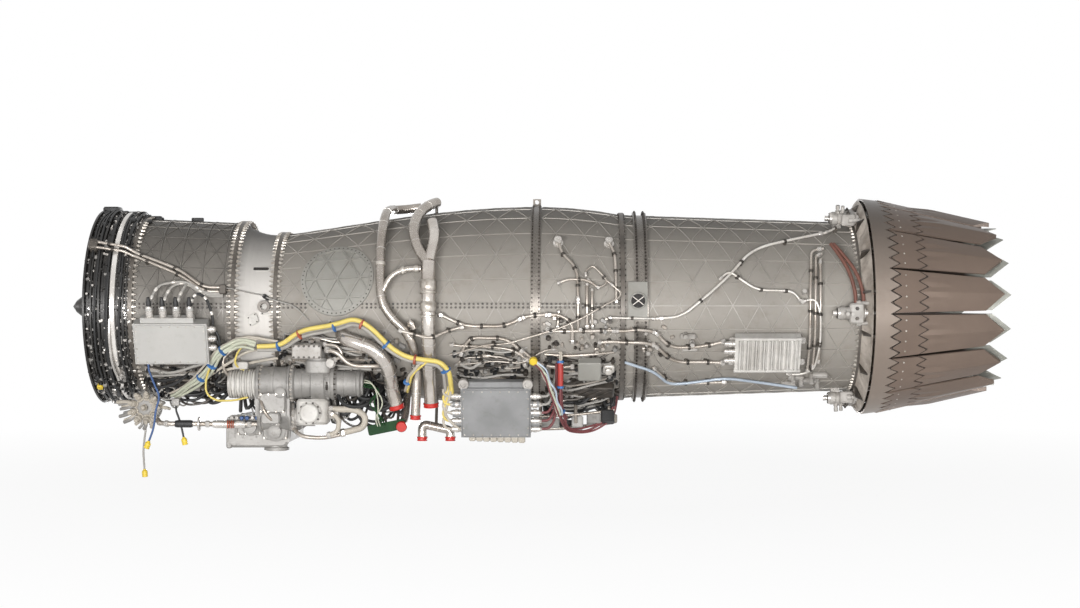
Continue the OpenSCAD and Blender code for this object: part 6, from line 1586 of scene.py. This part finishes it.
class JET_OT_belly(bpy.types.Operator):
    """Small fittings and thin tubes crowded along the lower side of the cases"""
    bl_idname = "jet.belly"
    bl_label = "Belly fittings"

    def execute(self, context):
        rng = np.random.default_rng(23)
        shapes = [block(44, 26, 24, 4, 7, 2), union(12, 44), lathe([(16, 0), (16, 12), (10, 16), (10, 34)], 10),
            block(24, 24, 40, 3, 5, 2)]
        zones = [((20, 250), (-92, -34), 60, ("inlet", "black", "casting", "steel")),
            ((290, 840), (-84, -34), 150, ("black", "nut", "black", "steel")),
            ((1110, 1840), (-56, -20), 150, ("nut", "casting", "black", "pipe")),
            ((2130, 2590), (-46, -25), 70, ("nut", "black", "black", "casting")),
            ((2660, 3100), (-26, -6), 44, ("nut", "casting", "alloy", "pipe")),
            ((2660, 3100), (-92, -28), 170, ("nut", "black", "casting", "nut")),
            ((3160, 3420), (-30, -10), 12, ("nut", "alloy", "alloy", "pipe"))]
        tones = {}
        for (x0, x1), (p0, p1), count, names in zones:
            x, phi = rng.uniform(x0, x1, count), rng.uniform(p0, p1, count)
            spin = rng.choice([0.0, 90, 30, -30], count)
            axes = turned_axes(phi, spin) * rng.uniform(0.5, 1.1, count)[:, None, None]
            at = on_skin(x, phi)
            kind, tone = rng.integers(0, len(shapes), count), rng.integers(0, 4, count)
            for k, shape in enumerate(shapes):
                for j, name in enumerate(names):
                    mask = (kind == k) & (tone == j)
                    if mask.any():
                        tones.setdefault(name, []).append(placed(shape, at[mask], axes[mask]))
        for name, parts in tones.items():
            piece("belly_fittings_" + name, parts, name, slot="grey_metal")
        self.tubes(rng)
        self.slack_hoses(rng)
        return {"FINISHED"}

    def slack_hoses(self, rng):
        """Black hoses and wires that leave the skin, sag below it and come back to it further along."""
        groups = {"black": [], "nut": [], "grey": []}
        for x0, x1, p0, p1, sag0, sag1, count in ((840, 1480, -74, -50, 80, 300, 44),
                (1400, 1850, -74, -46, 60, 290, 46), (300, 820, -82, -52, 30, 130, 30),
                (2660, 3080, -92, -62, 30, 100, 26)):
            a = rng.uniform(x0, x1, count)
            b = np.clip(a + rng.uniform(60, 320, count) * rng.choice([-1, 1], count), x0, x1)
            phi, turn = rng.uniform(p0, p1, count), rng.uniform(-6, 6, count)
            low = rng.uniform(sag0, sag1, count)
            for k in range(count):
                x = a[k] + (b[k] - a[k]) * np.array([0, .06, .3, .7, .94, 1])
                sway = phi[k] + turn[k] * np.array([0, 0, .3, .7, 1, 1])
                depth = np.array([-2, low[k] * .5, low[k], low[k] * .9, low[k] * .4, -2])
                line = route(np.stack([x, sway, depth], -1), bend=60)
                groups[("black", "nut", "black", "grey")[k % 4]].append(tube(line, (9, 7, 11, 5)[k % 4], 8, True))
        for name, parts in groups.items():
            piece("slack_hoses_" + name, parts, name, slot="harness")

    def tubes(self, rng):
        """Thin tubes side by side: each starts and ends at its own station and sways round the skin."""
        groups = {"pipe": [], "nut": [], "grey": []}
        zones = [(300, 830, -84, -36, 22), (1130, 1800, -56, -20, 24), (2140, 2590, -46, -25, 12),
            (2650, 3090, -88, -26, 26)]
        for x0, x1, p0, p1, count in zones:
            for k in range(count):
                a, b = sorted(rng.uniform(x0, x1, 2))
                if b - a < 160:
                    a, b = x0 + 20, x1 - 20
                phi = p0 + (p1 - p0) * (k + 0.5) / count
                n = 4
                pts = np.stack([np.linspace(a, b, n), phi + rng.uniform(-4, 4, n), np.full(n, 18.0 + 6 * (k % 4))],
                    -1)
                pts[0, 2] = pts[-1, 2] = 4
                line = route(pts, bend=50)
                groups[("nut", "pipe", "nut", "grey")[k % 4]].append(tube(line, (7, 9, 6)[k % 3], 8, True))
        for name, parts in groups.items():
            piece("belly_tubes_" + name, parts, name, slot="bright_metal")


class JET_OT_ignition(bpy.types.Operator):
    """Fins, lugs and connectors of the ignition box and the vent plate"""
    bl_idname = "jet.ignition"
    bl_label = "Ignition box and vent"

    def execute(self, context):
        axes = axes_at(-27)
        local = own_axes(on_skin(3960, -27, 34), axes)
        fins = placed(block(5, 190, 13, 1.2, steps=2), local(np.linspace(-170, 170, 16), 0, 61), axes)
        rails = placed(block(388, 16, 24, 3), local(0, np.array([104.0, -104]), 46), axes)
        piece("ignition_fins", [fins, rails], "pale_alloy")
        lugs = placed(block(46, 40, 14, 3, 12),
            local(np.array([-200.0, -200, 200, 200]), np.array([70.0, -70, 70, -70]), 4), axes)
        piece("ignition_lugs", lugs, "steel")
        left = axes[:, [2, 1, 0]] * [[[1], [1], [-1]]]
        piece("ignition_ports", placed(plug(17, 62), local(-190, np.array([-50.0, 10, 60]), 34), left), "steel")
        spot, face = polar(3210, 3.3, skin(3190) + 20.6), axes_at(3.3)
        rim = turned([(40.4, 18), (50, 18), (50, 23), (47, 26), (43, 26), (40.4, 23), (40.4, 18)], 40)
        piece("vent_rim", placed(rim, spot, face), "panel")
        # A dark disc inside the vent rim: painted shade of the vent's hole
        mouth = lathe([(39.6, 8), (39.6, 10)], 36)
        piece("vent_mouth", placed(mouth, spot, face), "gap")
        bars = join(*[placed(block(79, 5, 5, 1, steps=2), spot + 14 * face[0, 2], turned_axes(3.3, s))
            for s in (38, -38)])
        piece("vent_bars", bars, "white_tube")
        low = join(*[seated(block(90, 30, 24, 4, 8), x, p, 4)
            for x, p in ((3500, -18), (3512, -26), (4150, -52), (4230, -56), (4290, -50), (4110, -60))])
        knobs = join(*[seated(union(15, 60), x, p, 2) for x, p in ((3484, -17), (3524, -22), (4130, -50), (4180, -54),
            (4240, -52), (4280, -58), (4160, 3), (4172, 9))])
        piece("augmentor_brackets", [low, knobs], "alloy")
        return {"FINISHED"}


class JET_OT_nozzle(bpy.types.Operator):
    """Outer skins, plates and rivets of the petals, the heat shield and the actuators' fittings"""
    bl_idname = "jet.nozzle"
    bl_label = "Nozzle"

    def execute(self, context):
        for k in range(PETALS):
            body = "petal_%02d" % (k + 1)
            axes = axes_at(PETAL_PHASE + PITCH * k)
            for name, shape, tone, smooth in (
                    ("skin", join(self.plate(), self.flap()), "petal", 30),
                    ("rivets", self.rivets(), "bolt", 38),
                    # Saw and plate lines: thin dark strips that are painted shadow under the saw edges
                    ("saw_lines", self.saw_line(X_SAW + TOOTH_GAP + 0.5, 10.5), "gap", 38),
                    ("plate_lines", self.saw_line(X_PLATE_END - 6, 14), "brown_gap", 38)):
                piece("petal_%s_%02d" % (name, k + 1), placed(shape, (0, 0, 0), axes), tone, body, smooth=smooth)
        self.heat_shield()
        self.actuators()
        return {"FINISHED"}

    def zigzag(self, t):
        """Saw edge across a petal: a triangle wave with its valleys at both sides."""
        j = (t * 0.945 + 1) * TEETH
        return TOOTH_H / 2 * (1 - 2 * np.abs(j % 2 - 1))

    def shell(self, x, t, ridge):
        """Points across a petal at stations x: the width follows the taper, and the height is the
        petal's radius, raised to a ridge along its middle."""
        y = t * petal_half(x)
        r = petal_radius(x) + ridge
        return np.stack([x, y, np.sqrt(r ** 2 - y ** 2)], -1)

    def plate(self):
        s, t = np.meshgrid(np.linspace(0, 1, 6), np.linspace(-1, 1, 8 * TEETH + 1), indexing="ij")
        a = X_SAW + TOOTH_GAP + 7 + self.zigzag(t)
        b = X_PLATE_END - 5 + self.zigzag(t)
        x = a + s * (b - a)
        t = t * 0.985
        return slab(self.shell(x, t, 3.4), self.shell(x, t, -2.0))

    def flap(self):
        s, t = np.meshgrid(np.linspace(0, 1, 16), np.linspace(-1, 1, 8 * TEETH + 1), indexing="ij")
        a = X_PLATE_END + TOOTH_GAP + 4 + self.zigzag(t)
        b = X_POINT - POINT_LEN * np.abs(t)
        x = a + s * (b - a)
        ridge = 20 * (1 - np.abs(t)) * np.clip(s / 0.3, 0, 1) - 1.5
        return slab(self.shell(x, t * 0.985, 3.4 + ridge), self.shell(x, t * 0.985, -2.0))

    def saw_line(self, start, width):
        """A thin dark strip that follows the saw edge, just above the skin under the plates: a painted shadow along
        the edge.
        """
        s, t = np.meshgrid(np.linspace(0, 1, 3), np.linspace(-1, 1, 8 * TEETH + 1), indexing="ij")
        x = start + width * s + self.zigzag(t)
        return slab(self.shell(x, t * 0.985, 0.4), self.shell(x, t * 0.985, -2.0))

    def rivets(self):
        t = np.array([-0.75, -0.25, 0.25, 0.75])
        return placed(dome(6, 3), self.shell(np.full(4, X_SAW + 66.0), t, 2.4))

    def heat_shield(self):
        """A stiff ring of pleated metal foil between the duct and the cowl: the radius grows along it
        and the pleats ride on a sum of waves round it."""
        s, p = np.meshgrid(np.linspace(0, 1, 16), np.arange(540) * 360 / 540.0, indexing="ij")
        a = np.radians(p)
        wave = np.sin(30 * a + 2 * np.sin(5 * a)) + 0.6 * np.sin(47 * a + 3 * s) + 0.4 * np.sin(83 * a + 5 * s)
        fold = np.sin(np.pi * s) * 7 * wave
        x = 4514 + 46 * s + np.sin(np.pi * s) * 4 * np.cos(22 * a)
        r = 524 + 112 * s ** 1.2 + fold * 0.9
        top = polar(np.clip(x, 4512, 4566), p, r)
        bottom = polar(np.clip(x - 3, 4511, 4564), p, r + 2)
        rows = np.concatenate([top, bottom[::-1]])
        rows = np.concatenate([rows, rows[:1]])
        piece("cowl_heat_shield", (rows.reshape(-1, 3), grid_quads(len(rows), rows.shape[1])), "foil")

    def actuators(self):
        bright, dark = [], []
        for k in range(5):
            phi = -3.8 + 72 * k
            axes = axes_at(phi)
            line = np.array([[axes[0, 1], axes[0, 2], axes[0, 0]]])
            bright.append(placed(lathe([(38, 0), (40, 3), (40, 30), (37, 33), (37, 60), (41, 62), (41, 72), (37, 74),
                (37, 118), (42, 120), (42, 134), (36, 140)], 28), polar(4376, phi, 566), line))
            bright.append(placed(block(84, 118, 70, 8, 14, 4), polar(4470, phi, 536), axes))
            for side in (-1, 1):
                off = side * 58 * axes[0, 1]
                bright.append(placed(lathe([(17, 0), (17, 22), (12, 26), (12, 84)], 16), polar(4470, phi, 574) + off,
                    line))
                dark.append(placed(nut(12, 14), polar(4470, phi, 600) + off * 0.5, axes))
            dark.append(placed(lathe([(30, 0), (34, 4), (34, 18)], 24), polar(4358, phi, 566), line))
            bright.append(placed(union(14, 50), polar(4410, phi, 598), axes))
            bright.append(placed(union(12, 44), polar(4440, phi, 600), axes))
        piece("actuator_bodies", bright, "alloy")
        piece("actuator_ends", dark, "nut")


class JET_PT_panel(bpy.types.Panel):
    """Sidebar panel with the engine's colours, sizes and steps"""
    bl_label = "Jet engine"
    bl_idname = "JET_PT_panel"
    bl_space_type = "VIEW_3D"
    bl_region_type = "UI"
    bl_category = "Engine"

    def draw(self, context):
        layout = self.layout
        for group in (context.scene.jet_colours, context.scene.jet_sizes):
            box = layout.box()
            for key in group.__annotations__:
                box.prop(group, key)
        for step in STEPS:
            layout.operator(step.bl_idname)


STEPS = (JET_OT_stage, JET_OT_leads, JET_OT_finishes, JET_OT_ribs, JET_OT_studs, JET_OT_inlet, JET_OT_front_box,
    JET_OT_waist, JET_OT_panel, JET_OT_bleed, JET_OT_harness, JET_OT_gearbox, JET_OT_tubes, JET_OT_rear_box,
    JET_OT_belly, JET_OT_ignition, JET_OT_nozzle)
CLASSES = (EngineColours, EngineSizes, *STEPS, JET_PT_panel)


def register():
    for cls in CLASSES:
        bpy.utils.register_class(cls)
    bpy.types.Scene.jet_colours = PointerProperty(type=EngineColours)
    bpy.types.Scene.jet_sizes = PointerProperty(type=EngineSizes)


def unregister():
    del bpy.types.Scene.jet_colours
    del bpy.types.Scene.jet_sizes
    for cls in reversed(CLASSES):
        bpy.utils.unregister_class(cls)


def main():
    register()
    make_finishes(bpy.context.scene.jet_colours)
    bpy.ops.jet.stage()
    bpy.ops.jet.leads()
    bpy.ops.jet.finishes()
    bpy.ops.jet.grid_ribs()
    bpy.ops.jet.studs()
    bpy.ops.jet.inlet()
    bpy.ops.jet.front_box()
    bpy.ops.jet.waist()
    bpy.ops.jet.panel()
    bpy.ops.jet.bleed_ducts()
    bpy.ops.jet.harness()
    bpy.ops.jet.gearbox()
    bpy.ops.jet.tubes()
    bpy.ops.jet.rear_box()
    bpy.ops.jet.belly()
    bpy.ops.jet.ignition()
    bpy.ops.jet.nozzle()
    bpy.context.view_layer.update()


if __name__ == "__main__":
    main()
